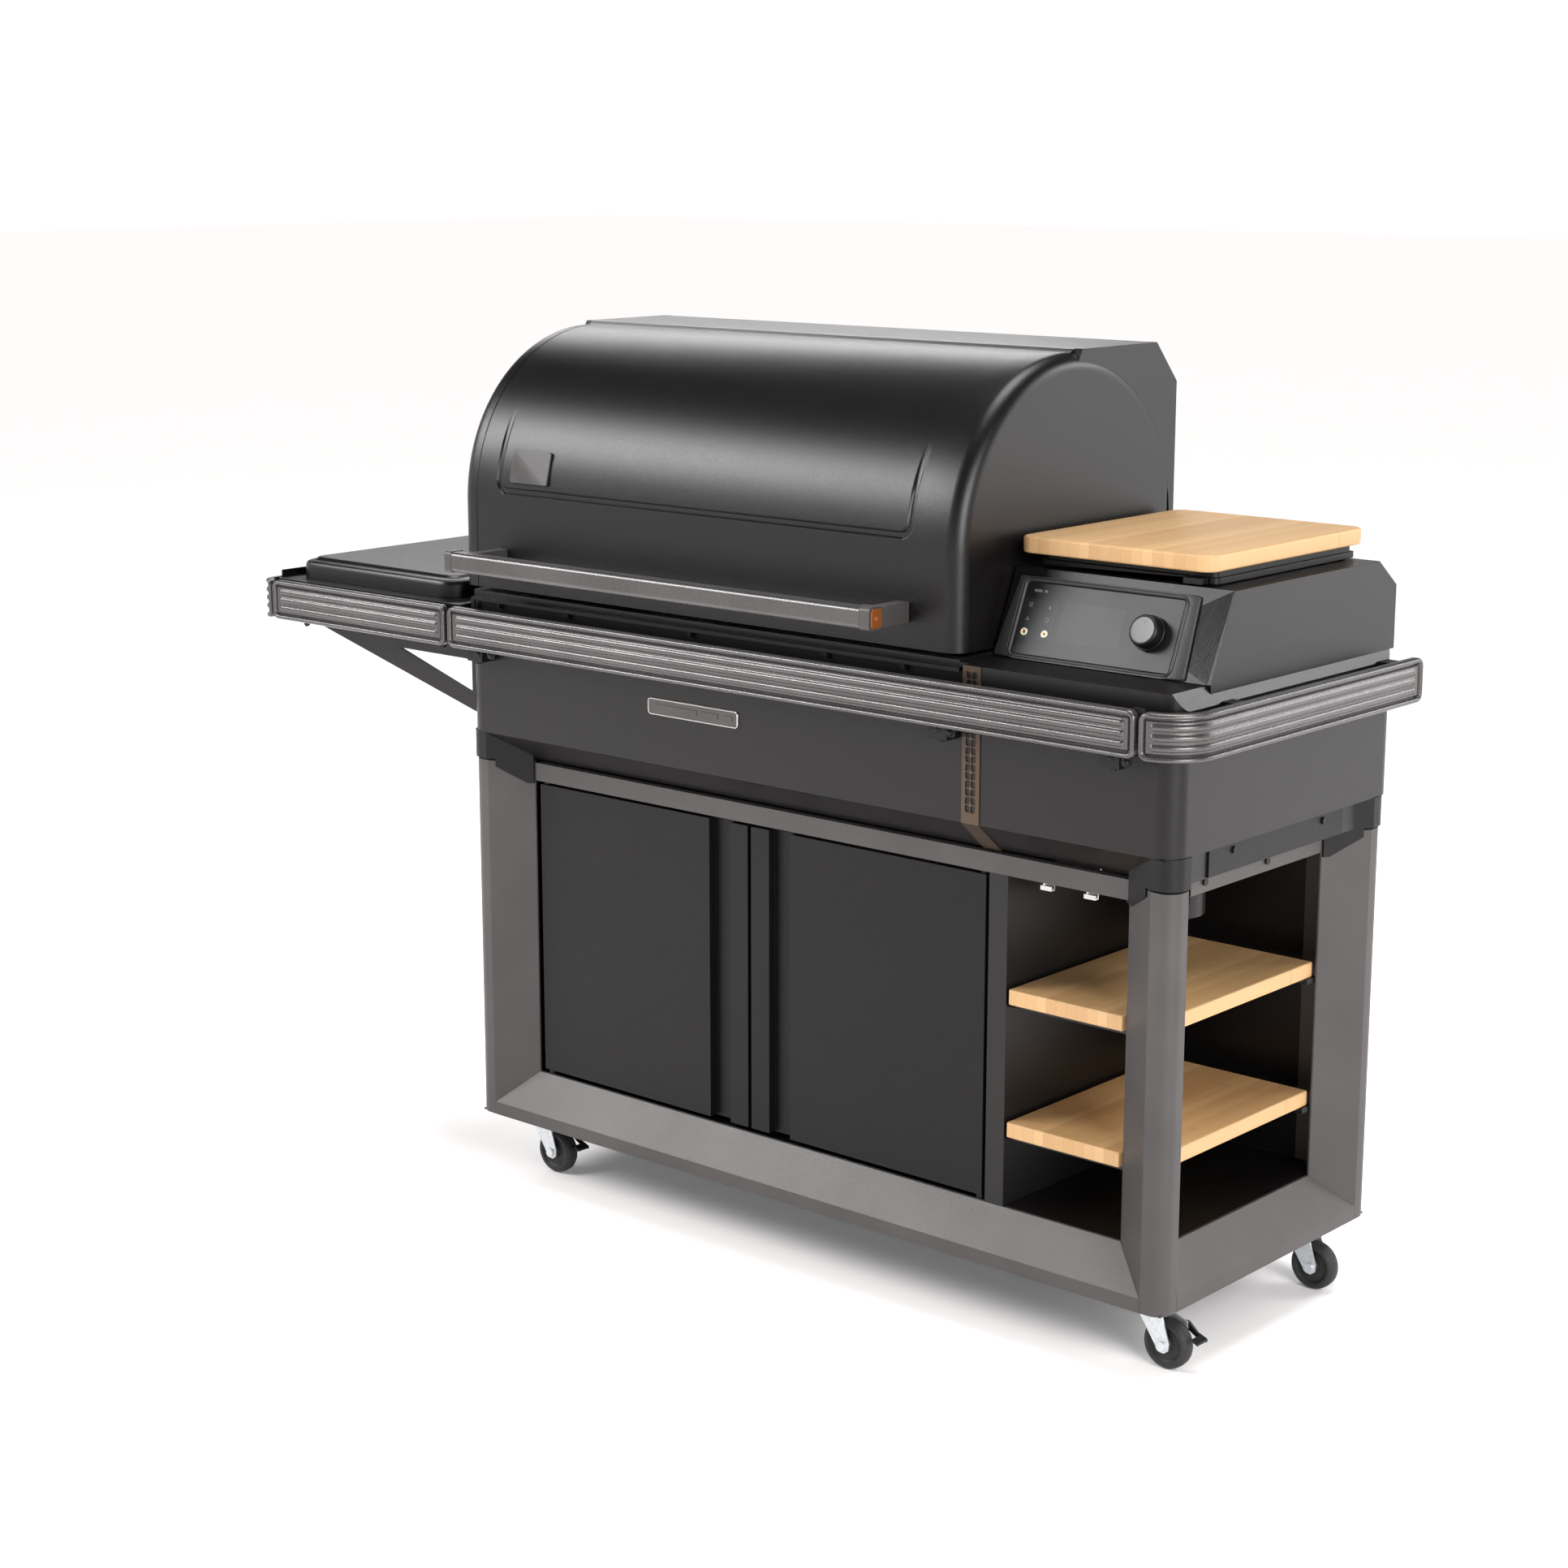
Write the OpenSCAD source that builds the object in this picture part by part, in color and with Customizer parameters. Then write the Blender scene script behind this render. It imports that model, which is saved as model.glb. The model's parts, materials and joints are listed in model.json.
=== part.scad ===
// Pellet smoker grill on a wheeled cart: an insulated barrel with a hinged lid,
// a pellet hopper with its control panel on the right, a side shelf with a covered
// hob on the left, and a cabinet with two doors and open shelves below.
// Millimetres. +X is the hopper end, -Y is the front, +Z is up, and Z = 0 is the floor.
// The origin is the middle of the footprint of the whole grill: the sizes below are taken
// from the cart's own centre line, and placed() moves every sub-part by origin_shift.

/* [Cart] */
// Left edge of the cart frame
cart_left = -439.3; // [-460:0.1:-430]
// Right edge of the cart frame
cart_right = 848.5; // [845:0.1:849]
// Front edge of the cart frame
cart_front = -242.7; // [-244:0.1:-236]
// Rear edge of the cart frame
cart_rear = 276.2; // [270:0.1:280]
// Height of the underside of the base rails
base_z = 99.6; // [97:0.1:102]
// Height of the flat lip along the bottom of the base rails
lip_h = 20.1; // [12:0.1:24]
// Top of the bevelled base rails
base_top = 173; // [165:0.5:176]
// Flat width of each post face
post_flat = 34.5; // [28:0.5:38]
// Width of the bevelled part of each post
post_bevel = 60.3; // [50:0.1:64]
// How far the panels and doors sit behind the outer faces of the posts
recess = 41; // [36:0.5:44]
// Bottom and top of the front top rail
top_rail_z = [638, 666]; // [600:1:668]

/* [Cabinet] */
// Left and right edges of the left door
door_l_x = [-333, 91.9]; // [-340:0.1:95]
// Left and right edges of the right door
door_r_x = [98.2, 521.9]; // [95:0.1:523]
// Bottom and top of both doors
door_z = [180, 634]; // [176:1:636]
// Depth of the folded door pans
door_t = 18; // [16:0.5:22]
// Left and right edges of the divider post between doors and open bay
divider_x = [527.4, 558.7]; // [524:0.1:562]
// Left and right edges of the bamboo bay shelves
bay_x = [564, 800]; // [560:1:802]
// Front and rear edges of the bamboo bay shelves
bay_y = [-205, 183]; // [-208:1:186]
// Height of the top faces of the lower and the upper bay shelf
bay_tops = [296, 483]; // [250:1:560]
// Thickness of the bamboo shelves
bay_t = 21.5; // [16:0.5:25]

/* [Casters] */
// Distance of the swivel axes from the cart ends and from its front and rear
caster_inset = [67, 75]; // [60:1:80]
// Distance that each wheel trails behind its swivel axis
trail = 30; // [26:1:32]
// Wheel radius
wheel_r = 35; // [33:0.5:36]
// Wheel width
wheel_w = 24; // [20:0.5:26]

/* [Body] */
// Left and right ends of the lower body
body_x = [-440, 850]; // [-442:0.5:851]
// Front and rear planes of the lower body
body_y = [-247.5, 290]; // [-250:0.5:292]
// Where the barrel part of the body ends and the hopper part begins
body_split = 514; // [505:1:520]
// Bottom of the upright walls, above the chamfer
body_wall_z = 713; // [705:1:720]
// Flat underside of the body
body_floor_z = 671; // [668:1:676]
// Top rim of the barrel body
rim_z = 928; // [924:1:930]
// Wall thickness of the stampings
wall = 4; // [3:0.5:5]

/* [Lid] */
// Left and right ends of the lid
lid_x = [-460, 495]; // [-462:1:497]
// Front and rear planes of the lid
lid_y = [-235, 266]; // [-237:1:267]
// Bottom edge of the lid
lid_z = 934; // [932:1:936]
// Radius of the curved front and top
lid_r = 253.5; // [245:0.5:255]
// Top of the flat rear part of the lid
lid_top = 1319; // [1315:1:1325]
// Left and right ends of the handle bar
handle_x = [-394, 412]; // [-400:1:415]
// Front face of the handle bar
handle_front = -319; // [-330:1:-310]
// Bottom and top of the handle bar
handle_z = [966, 998]; // [960:1:1002]

/* [Hopper] */
// Left and right sides of the hopper housing
hopper_x = [499.5, 843]; // [498:0.5:845]
// Foot of the sloping control panel: Y, Z
panel_foot = [-164, 925]; // [-200:1:930]
// Tilt of the control panel from the horizontal
panel_tilt = 66.8; // [60:0.1:75]
// Top of the hopper housing
hopper_top = 1040; // [1030:1:1045]
// Left and right ends of the bamboo cutting board
board_x = [510.5, 816.4]; // [505:0.5:820]
// Front and rear edges of the cutting board
board_y = [-129.9, 251.1]; // [-135:0.1:252]
// Bottom and top of the cutting board
board_z = [1061, 1083]; // [1060:1:1090]

/* [Rails and side shelf] */
// Outer face of the front rails
rail_front = -285.4; // [-290:0.1:-280]
// Outer faces of the left and right wrap-round rails
rail_ends = [-887.8, 887.8]; // [-890:0.1:890]
// Rear ends of the wrap-round rails
rail_rear = 296.2; // [295:0.1:298]
// Bottom and top of the corrugated rails
rail_z = [844.3, 906.5]; // [840:0.1:910]
// Thickness of the corrugated rails
rail_t = 12; // [10:0.5:14]
// Left and right ends of the side shelf
shelf_x = [-873, -444]; // [-875:1:-442]
// Front and rear edges of the side shelf
shelf_y = [-262, 230]; // [-265:1:240]

/* [Hidden] */
// How far the lower part of the body's ends is set back, and the strips that cover it
under_inset = 15;
end_strip_t = 3;
// Depth of the slopes under the body's front and rear
chamfer_y = 50.5;
$fn = 48;
origin_shift = [0, -(handle_front + rail_rear) / 2, 0];
eps = 0.01;

charcoal = [0.10, 0.095, 0.09];
graphite = [0.30, 0.29, 0.28];
rail_grey = [0.42, 0.41, 0.40];
black = [0.05, 0.05, 0.05];
bamboo = [0.85, 0.68, 0.42];
bronze = [0.45, 0.36, 0.27];
zinc = [0.75, 0.76, 0.78];
steel = [0.62, 0.62, 0.60];

// Recess planes: where the doors, panels and top rails lie
plane_front = cart_front + recess;
plane_rear = cart_rear - recess;
plane_left = cart_left + recess;
plane_right = cart_right - recess;
post_end = post_flat + post_bevel;
sheet = 4;

// Centre of the lid's curve, and the hinge axis just behind the lid
lid_arc = [lid_y[0] + lid_r, 1061];
lid_pin = [276, 940];
lid_pin_r = 4;
lid_hinge_xs = [-330, 365];

door_pin_r = 4;
door_pin_y = plane_front + 9.7;
door_pin_l = door_l_x[0] + 8;
door_pin_r_x = door_r_x[1] - 8;

auger_axis = [20, 712];
tube_r = 26;
fire_pot_xy = [30, 20];
fan_axis = [170, 745];
knob_at = [737, 55.5];
knob_r = 24;
jack_xs = [540.8, 573.9];
jack_s = 36.8;
throat = [[640, 720], [-8, 48]];
hopper_hinge = [256, 1046];
hopper_hinge_xs = [560, 750];
inlet_x = [740, 812];
inlet_z = [742, 774];
rocker_x = 799;
keg_xy = [700, -35];

// A cuboid from its lowest to its highest corner
module box(lo, hi) {
    translate(lo) cube([hi[0] - lo[0], hi[1] - lo[1], hi[2] - lo[2]]);
}
// Extrudes an outline drawn in Y and Z along X
module along_x(x0, x1) {
    translate([x0, 0, 0]) rotate([90, 0, 90]) linear_extrude(x1 - x0) children();
}
// Extrudes an outline drawn in X and Z along Y
module along_y(y0, y1) {
    translate([0, y1, 0]) rotate([90, 0, 0]) linear_extrude(y1 - y0) children();
}
// Extrudes an outline drawn in X and Y along Z
module along_z(z0, z1) {
    translate([0, 0, z0]) linear_extrude(z1 - z0) children();
}
// A rectangle with round corners
module round_rect(lo, hi, r) {
    translate([lo[0] + r, lo[1]]) square([hi[0] - lo[0] - 2 * r, hi[1] - lo[1]]);
    translate([lo[0], lo[1] + r]) square([hi[0] - lo[0], hi[1] - lo[1] - 2 * r]);
    for (x = [lo[0] + r, hi[0] - r], y = [lo[1] + r, hi[1] - r])
        translate([x, y]) circle(r);
}
// Rods and pins along each axis, given their centre line and ends
module rod_x(x0, x1, y, z, r) {
    translate([x0, y, z]) rotate([0, 90, 0]) cylinder(h = x1 - x0, r = r);
}
module rod_y(y0, y1, x, z, r) {
    translate([x, y1, z]) rotate([90, 0, 0]) cylinder(h = y1 - y0, r = r);
}
module rod_z(z0, z1, x, y, r) {
    translate([x, y, z0]) cylinder(h = z1 - z0, r = r);
}
// Places something at each corner of the cart, mirrored so that it points inwards
module at_corners(which = [0, 1, 2, 3]) {
    for (i = which)
        translate([i % 2 == 0 ? cart_left : cart_right, i < 2 ? cart_front : cart_rear, 0])
            mirror([i % 2, 0, 0]) mirror([0, i < 2 ? 0 : 1, 0]) children();
}

// ---------- cart frame ----------

// Outline of a post seen from above, grown by m on its outer faces
module post_outline(m = 0) {
    corner_r = 22 + m;
    difference() {
        polygon([[-m, -m], [post_flat, -m], [post_end, recess - m], [post_end, recess + sheet],
            [recess + sheet, recess + sheet], [recess + sheet, post_end], [recess - m, post_end],
            [-m, post_flat]]);
        difference() {
            translate([-m - 1, -m - 1]) square(corner_r + 1);
            translate([corner_r - m, corner_r - m]) circle(corner_r);
        }
    }
}
module post_hollow() {
    polygon([[22, 3], [32.5, 3], [82, 36.7], [82, 41], [41, 41], [41, 82], [36.7, 82], [3, 32.5], [3, 22]]);
}
module post_solid() {
    along_z(base_z, 668) post_outline();
}
module cart_posts() {
    color(graphite) at_corners() difference() {
        post_solid();
        along_z(base_z - 1, 664) post_hollow();
    }
}
// One bevelled base rail, drawn as depth behind the outer face and height
module rail_outline() {
    polygon([[0, base_z], [0, base_z + lip_h], [recess, base_top], [recess + 3, base_top],
        [recess + 3, base_top - 4], [4, base_z + lip_h - 2], [4, base_z]]);
}
module base_rails() {
    color(graphite) {
        difference() {
            union() {
                translate([0, cart_front, 0])
                    along_x(cart_left + post_flat, cart_right - post_flat) rail_outline();
                translate([0, cart_rear, 0]) mirror([0, 1, 0])
                    along_x(cart_left + post_flat, cart_right - post_flat) rail_outline();
                translate([cart_left, 0, 0])
                    along_y(cart_front + post_flat, cart_rear - post_flat) rail_outline();
                translate([cart_right, 0, 0]) mirror([1, 0, 0])
                    along_y(cart_front + post_flat, cart_rear - post_flat) rail_outline();
            }
            at_corners() post_solid();
        }
        // Pan that closes the underside and carries the casters
        difference() {
            box([cart_left + 4, cart_front + 4, base_z], [cart_right - 4, cart_rear - 4, base_z + 3]);
            at_corners() post_solid();
        }
    }
}
module top_rails() {
    x0 = cart_left + post_end;
    x1 = cart_right - post_end;
    y0 = cart_front + post_end;
    y1 = cart_rear - post_end;
    color(graphite) {
        box([x0, plane_front, top_rail_z[0]], [x1, plane_front + 18, top_rail_z[1]]);
        box([x0, plane_rear - 18, top_rail_z[0]], [x1, plane_rear, top_rail_z[1]]);
        box([plane_left, y0, 640], [plane_left + 18, y1, 670]);
        box([plane_right - 18, y0, 640], [plane_right, y1, 670]);
    }
}
// Black caps that join the posts to the body, with a sloping lower edge, and the
// strips between them along both ends of the body
module corner_caps() {
    cap_low = 634;
    cap_high = 671;
    strip_y = [cart_front + post_end + 0.2, cart_rear - post_end - 0.2];
    color(black) for (x = [body_x[0] + under_inset - end_strip_t, body_x[1] - under_inset])
        box([x, strip_y[0], body_floor_z + 1], [x + end_strip_t, strip_y[1], body_wall_z - 1]);
    color(black) difference() {
        at_corners() difference() {
            along_z(cap_low, body_wall_z) post_outline(3);
            post_solid();
            for (turn = [0, 1]) mirror([turn, -turn, 0])
                along_y(-5, recess + 5) polygon([[-5, cap_low - 5], [-5, cap_high],
                    [14, cap_high], [34, cap_high - 5], [post_end - 8, cap_low], [post_end - 8, cap_low - 5]]);
        }
        body_envelope();
    }
}

// ---------- cabinet ----------

module cabinet_shell() {
    x0 = cart_left + post_end;
    x1 = cart_right - post_end;
    y0 = cart_front + post_end;
    y1 = cart_rear - post_end;
    color(charcoal) {
        difference() {
            box([plane_left + 3, plane_front + 3, base_top - 5],
                [plane_right - 3, plane_rear - 3, base_top]);
            at_corners() post_solid();
        }
        box([x0, plane_rear - 3, base_top + eps], [x1, plane_rear, top_rail_z[0]]);
        box([plane_left, y0, base_top + eps], [plane_left + 3, y1, 640]);
        box([divider_x[0], plane_front, base_top + eps], [divider_x[1], plane_front + 30, top_rail_z[0]]);
        box([divider_x[1] - 3, plane_front + 30, base_top + eps],
            [divider_x[1], plane_rear - 3 - eps, top_rail_z[0]]);
    }
}
module bay_shelves() {
    color(bamboo) for (top = bay_tops) along_z(top - bay_t, top) difference() {
        round_rect([bay_x[0], bay_y[0]], [bay_x[1], bay_y[1]], 4);
        translate([750, bay_y[0] - 1]) square([60, 10]);
    }
}
module shelf_supports() {
    color(graphite) for (top = bay_tops, y = [[-190, -160], [164, 190]])
        box([divider_x[1], y[0], top - bay_t - 8], [plane_right - sheet, y[1], top - bay_t]);
}
// A door pan: a folded sheet with a finger channel beside its outer stile.
// It is drawn for the left door; the right door is its mirror image.
module door_pan(width) {
    skin = 2;
    stile = 34.8;
    channel = 40;
    depth = 13;
    a = width - stile - channel;
    b = width - stile;
    difference() {
        along_z(door_z[0], door_z[1]) polygon([[0, 0], [a, 0], [a, depth], [b, depth], [b, 0],
            [width, 0], [width, door_t], [0, door_t]]);
        along_z(door_z[0] + skin, door_z[1] - skin) {
            polygon([[skin + 16, skin], [a - skin, skin], [a - skin, door_t + 1], [skin + 16, door_t + 1]]);
            polygon([[b + skin, skin], [width - skin, skin], [width - skin, door_t + 1],
                [b + skin, door_t + 1]]);
        }
        along_z(door_z[0] + 30, door_z[1] - 30)
            polygon([[skin, skin], [skin + 17, skin], [skin + 17, door_t + 1], [skin, door_t + 1]]);
        for (z = [door_z[0] - 1, door_z[1] - 17])
            rod_z(z, z + 18, 8, 9.7, door_pin_r + 0.05);
    }
}
module door_left() {
    color(charcoal) translate([door_l_x[0], plane_front, 0]) door_pan(door_l_x[1] - door_l_x[0]);
}
module door_right() {
    color(charcoal) translate([door_r_x[1], plane_front, 0]) mirror([1, 0, 0])
        door_pan(door_r_x[1] - door_r_x[0]);
}
module door_hinge_pins() {
    color(steel) for (x = [door_pin_l, door_pin_r_x]) {
        rod_z(base_top, door_z[0] + 14, x, door_pin_y, door_pin_r);
        rod_z(door_z[1] - 14, top_rail_z[0], x, door_pin_y, door_pin_r);
        rod_z(base_top, door_z[0] - 1, x, door_pin_y, door_pin_r + 2.5);
        rod_z(door_z[1] + 1, top_rail_z[0], x, door_pin_y, door_pin_r + 2.5);
    }
}

// ---------- casters ----------

// Swivel axis of each caster: front left, front right, rear left, rear right
caster_at = [for (y = [cart_front + caster_inset[1], cart_rear - caster_inset[1]],
    x = [cart_left + caster_inset[0], cart_right - caster_inset[0]]) [x, y]];
kingpin_r = 6;
axle_r = 4;
brake_pivot = [44, 60];
leg_in = wheel_w / 2 + 2;
leg_t = 2.5;

module caster_plates() {
    color(zinc) for (p = caster_at) translate([p[0], p[1], 0]) {
        along_z(base_z - 3, base_z) round_rect([-42, -34], [42, 34], 6);
        rod_z(88, base_z - 3, 0, 0, 21);
        rod_z(79, 88, 0, 0, kingpin_r);
        rod_z(75, 79, 0, 0, 9);
    }
}
module fork_leg() {
    polygon([[-16, 86], [26, 86], [41, 40], [40, 30], [33, 25], [26, 26], [20, 33]]);
}
// A fork with its axle; the front ones also carry the pin of the brake lever
module caster_fork(at, braked) {
    color(zinc) translate([at[0], at[1], 0]) {
        difference() {
            union() {
                rod_z(83, 87, 0, 0, 22);
                box([-14, -leg_in - leg_t, 83], [24, leg_in + leg_t, 86]);
                along_y(-leg_in - leg_t, -leg_in) fork_leg();
                along_y(leg_in, leg_in + leg_t) {
                    fork_leg();
                    if (braked) polygon([[20, 80], [34, 70], [49, 65], [50, 55], [34, 50]]);
                }
            }
            rod_z(80, 90, 0, 0, kingpin_r + 0.05);
        }
        rod_y(-leg_in - leg_t - 2, leg_in + leg_t + 2, trail, wheel_r, axle_r);
        for (y = [-leg_in - leg_t - 4, leg_in + leg_t])
            rod_y(y, y + 4, trail, wheel_r, 7);
        if (braked) rod_y(leg_in, leg_in + leg_t + 6, brake_pivot[0], brake_pivot[1], 2.5);
    }
}
module caster_wheel(at) {
    h = wheel_w / 2;
    color(black) translate([at[0] + trail, at[1], wheel_r]) rotate([90, 0, 0]) rotate_extrude()
        difference() {
            union() {
                translate([axle_r + 0.06, -h + 1]) square([8, wheel_w - 2]);
                translate([axle_r + 6, -4]) square([16, 8]);
                translate([22, -h + 3]) square([9, wheel_w - 6]);
                translate([22, -h]) square([wheel_r - 26, wheel_w]);
                translate([22, -h + 4]) square([wheel_r - 22, wheel_w - 8]);
                for (s = [-1, 1]) translate([wheel_r - 4, s * (h - 4)]) circle(4);
            }
            translate([-10, -20]) square([10 + axle_r + 0.06, 40]);
        }
}
module brake_lever(at) {
    arm = [leg_in + leg_t + 0.3, leg_in + leg_t + 4.3];
    color(black) translate([at[0], at[1], 0]) difference() {
        union() {
            along_y(arm[0], arm[1]) polygon([[39, 56], [39, 64], [49, 65], [64, 52], [77, 47], [78, 43],
                [62, 46], [46, 55]]);
            // Foot pedal, behind the tread
            along_y(-3, arm[0] + 1) polygon([[68, 51], [69, 47], [77, 43], [78, 47]]);
        }
        rod_y(arm[0] - 1, arm[1] + 1, brake_pivot[0], brake_pivot[1], 2.56);
    }
}
module caster_fork_fl() { caster_fork(caster_at[0], true); }
module caster_fork_fr() { caster_fork(caster_at[1], true); }
module caster_fork_rl() { caster_fork(caster_at[2], false); }
module caster_fork_rr() { caster_fork(caster_at[3], false); }
module wheel_fl() { caster_wheel(caster_at[0]); }
module wheel_fr() { caster_wheel(caster_at[1]); }
module wheel_rl() { caster_wheel(caster_at[2]); }
module wheel_rr() { caster_wheel(caster_at[3]); }
module brake_lever_fl() { brake_lever(caster_at[0]); }
module brake_lever_fr() { brake_lever(caster_at[1]); }

// ---------- body ----------

// Outer form of the whole lower body, up to height top, shrunk by m
module body_form(top, m = 0) {
    intersection() {
        along_x(body_x[0] + m, body_x[1] - m) polygon([
            [body_y[0] + m, body_wall_z + m / 2], [body_y[0] + chamfer_y + m / 2, body_floor_z + m],
            [body_y[1] - chamfer_y - m / 2, body_floor_z + m], [body_y[1] - m, body_wall_z + m / 2],
            [body_y[1] - m, top], [body_y[0] + m, top]]);
        union() {
            along_z(body_wall_z + m / 2, top)
                round_rect([body_x[0] + m, body_y[0] + m], [body_x[1] - m, body_y[1] - m], 30 - m);
            along_z(body_floor_z, body_wall_z + m / 2) square_plan(under_inset + m);
        }
    }
}
module square_plan(m) {
    translate([body_x[0] + m, body_y[0]])
        square([body_x[1] - body_x[0] - 2 * m, body_y[1] - body_y[0]]);
}
module body_envelope() {
    body_form(925);
}
// Holes through the facing end walls for the auger tube and the air duct
module end_wall_holes() {
    rod_x(body_split - 12, body_split + 12, auger_axis[0], auger_axis[1], tube_r + 0.5);
    rod_x(body_split - 12, body_split + 12, fan_axis[0], fan_axis[1], 24);
}
module barrel_body() {
    opening_y = [-214, 248];
    ledge_z = 886;
    ledge_in = 18;
    step_y = body_y[0] + 11.5;
    color(charcoal) difference() {
        intersection() {
            body_form(rim_z);
            box([body_x[0] - 1, body_y[0] - 1, 600], [body_split - 0.1, body_y[1] + 1, 1000]);
        }
        // Step in the front edge, where the ledge trim sits
        box([body_x[0] - 1, body_y[0] - 1, 893], [body_split + 1, step_y, rim_z + 1]);
        // Chamber above the ledge, and the opening in the rim
        intersection() {
            body_form(rim_z - wall, wall);
            box([body_x[0] + wall, step_y + wall, ledge_z + 3],
                [body_split - wall, body_y[1] - wall, rim_z - wall]);
        }
        // The rim steps down where the hopper housing overlaps it
        box([hopper_x[0] - 0.5, body_y[0] - 1, 925], [body_split + 1, body_y[1] + 1, rim_z + 1]);
        box([body_x[0] + 26, opening_y[0], rim_z - 5], [body_split - 26, opening_y[1], rim_z + 1]);
        // Opening in the ledge, and the fire chamber below it
        box([body_x[0] + 26, opening_y[0] + ledge_in, ledge_z - 1],
            [body_split - 26, opening_y[1] - ledge_in, ledge_z + 4]);
        intersection() {
            body_form(ledge_z, wall);
            box([body_x[0], body_y[0], 600], [body_split - wall, body_y[1], ledge_z]);
        }
        end_wall_holes();
    }
}
module hopper_body() {
    shoulder = 890;
    color(charcoal) difference() {
        intersection() {
            body_form(925);
            box([body_split + 0.1, body_y[0] - 1, 600], [body_x[1] + 1, body_y[1] + 1, 1000]);
        }
        // Sloping right shoulder below the housing's skirt
        along_y(body_y[0] - 1, body_y[1] + 1) polygon([[837, 925.1], [body_x[1] + 0.1, 901],
            [900, 901], [900, 1000], [837, 1000]]);
        // Seam of the right-hand corner panel
        box([829.6, body_y[0] - 1, body_wall_z], [830.4, body_y[0] + 1.2, 926]);
        intersection() {
            body_form(925 - wall, wall);
            box([body_split + wall, body_y[0], 600], [836 - wall, body_y[1], 925 - wall]);
        }
        intersection() {
            body_form(shoulder - wall, wall);
            box([800, body_y[0], 600], [body_x[1], body_y[1], shoulder - wall]);
        }
        // Top opening under the hopper, and the cut-out for the power inlet
        box([530, -150, 900], [825, 270, 930]);
        box([inlet_x[0] + 4, body_y[1] - 10, inlet_z[0] + 4],
            [inlet_x[1] - 4, body_y[1] + 1, inlet_z[1] - 4]);
        end_wall_holes();
    }
}
// Side view of the hopper housing
module hopper_outline(m = 0) {
    foot = panel_foot;
    run = (hopper_top - foot[1]) / tan(panel_tilt);
    polygon([[foot[0] + m * 1.1, foot[1] - 1 + (m > 0 ? -5 : 0)], [foot[0] + m * 1.1, foot[1]],
        [foot[0] + run + m * 0.6, hopper_top - m], [242 - m / 2, hopper_top - m],
        [290 - m, 1003 - m / 2], [290 - m, foot[1] - 1 + (m > 0 ? -5 : 0)]]);
}
module hopper_housing() {
    color(charcoal) difference() {
        union() {
            along_x(hopper_x[0], hopper_x[1]) intersection() {
                hopper_outline();
                translate([-300, 925.1]) square([700, 200]);
            }
            // Skirt that follows the body's sloping shoulder
            along_y(panel_foot[0], body_y[1]) polygon([[837.4, 925.2], [hopper_x[1], 914.9],
                [hopper_x[1], 926]]);
            // Ears and pins of the hopper lid's hinges
            for (x = hopper_hinge_xs) {
                for (e = [-8, 21]) box([x + e, 250, 1020], [x + e + 7, 261, 1050]);
                rod_x(x - 8, x + 28, hopper_hinge[0], hopper_hinge[1], 2);
            }
        }
        along_x(hopper_x[0] + wall, hopper_x[1] - wall) hopper_outline(wall);
        box([533, -84, hopper_top - 6], [793, 235, hopper_top + 1]);
        on_panel(knob_at[0], knob_at[1], -20) cylinder(h = 30, r = 9);
        for (x = jack_xs) on_panel(x, jack_s, -20) cylinder(h = 30, r = 5);
    }
}
// Pierced trim strip that covers the seam in the body
module vent_strip() {
    x0 = body_split + 0.5;
    x1 = 544;
    t = 1.5;
    pitch = 22;
    color(bronze) difference() {
        along_x(x0, x1) polygon([[body_y[0], 925], [body_y[0] - t, 925], [body_y[0] - t, body_wall_z - 0.7],
            [body_y[0] + chamfer_y - 1, body_floor_z - 1.6], [body_y[0] + chamfer_y, body_floor_z],
            [body_y[0], body_wall_z]]);
        for (i = [0 : 7], x = [x0 + 8.5, x1 - 8.5]) if (i != 3 && i != 4)
            rod_y(body_y[0] - 5, body_y[0] + eps, x, 912 - i * pitch - 4, 4);
    }
}
module ledge_trim() {
    top = 921;
    lip_low = 914;
    flange_y = body_y[0] + 8.5;
    color(charcoal) {
        along_x(-423, 507) polygon([[body_y[0], lip_low], [body_y[0], top - 2], [body_y[0] + 2, top],
            [flange_y + 3, top], [flange_y + 3, 895], [flange_y, 895], [flange_y, top - 3],
            [body_y[0] + 3, top - 3], [body_y[0] + 3, lip_low]]);
        // Curled left end
        along_y(body_y[0], body_y[0] + 3) polygon([[-423, lip_low], [-421, 903], [-426, 898], [-430, 902],
            [-429, top - 3], [-423, top]]);
        for (x = [-373, -227, 20, 274, 410])
            rod_y(body_y[0] + 2, flange_y + 1, x, 910, 3.8);
    }
}
module front_badge() {
    color(steel) along_y(body_y[0] - 2.5, body_y[0]) round_rect([-58, 786], [117, 811], 5);
}

// ---------- lid ----------

// End view of the lid, shrunk by m and left open below
module lid_outline(m = 0) {
    low = m > 0 ? lid_z - 5 : lid_z;
    r = lid_r - m;
    // The curve runs into the rear box, so it is cut off just inside the rear wall
    intersection() {
        translate([lid_arc[0], lid_arc[1]]) circle(r, $fn = 128);
        translate([lid_y[0] - 10, lid_arc[1] - 10])
            square([lid_y[1] - m - 3 - lid_y[0] + 10, 400]);
    }
    translate([lid_arc[0] - r, low]) square([lid_y[1] - m - lid_arc[0] + r, lid_arc[1] - low]);
    polygon([[lid_arc[0], lid_arc[1] - 20], [lid_arc[0] + 18, lid_top - m], [214 - m / 2, lid_top - m],
        [lid_y[1] - m, 1262 - m / 2], [lid_y[1] - m, lid_arc[1] - 20]]);
}
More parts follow.
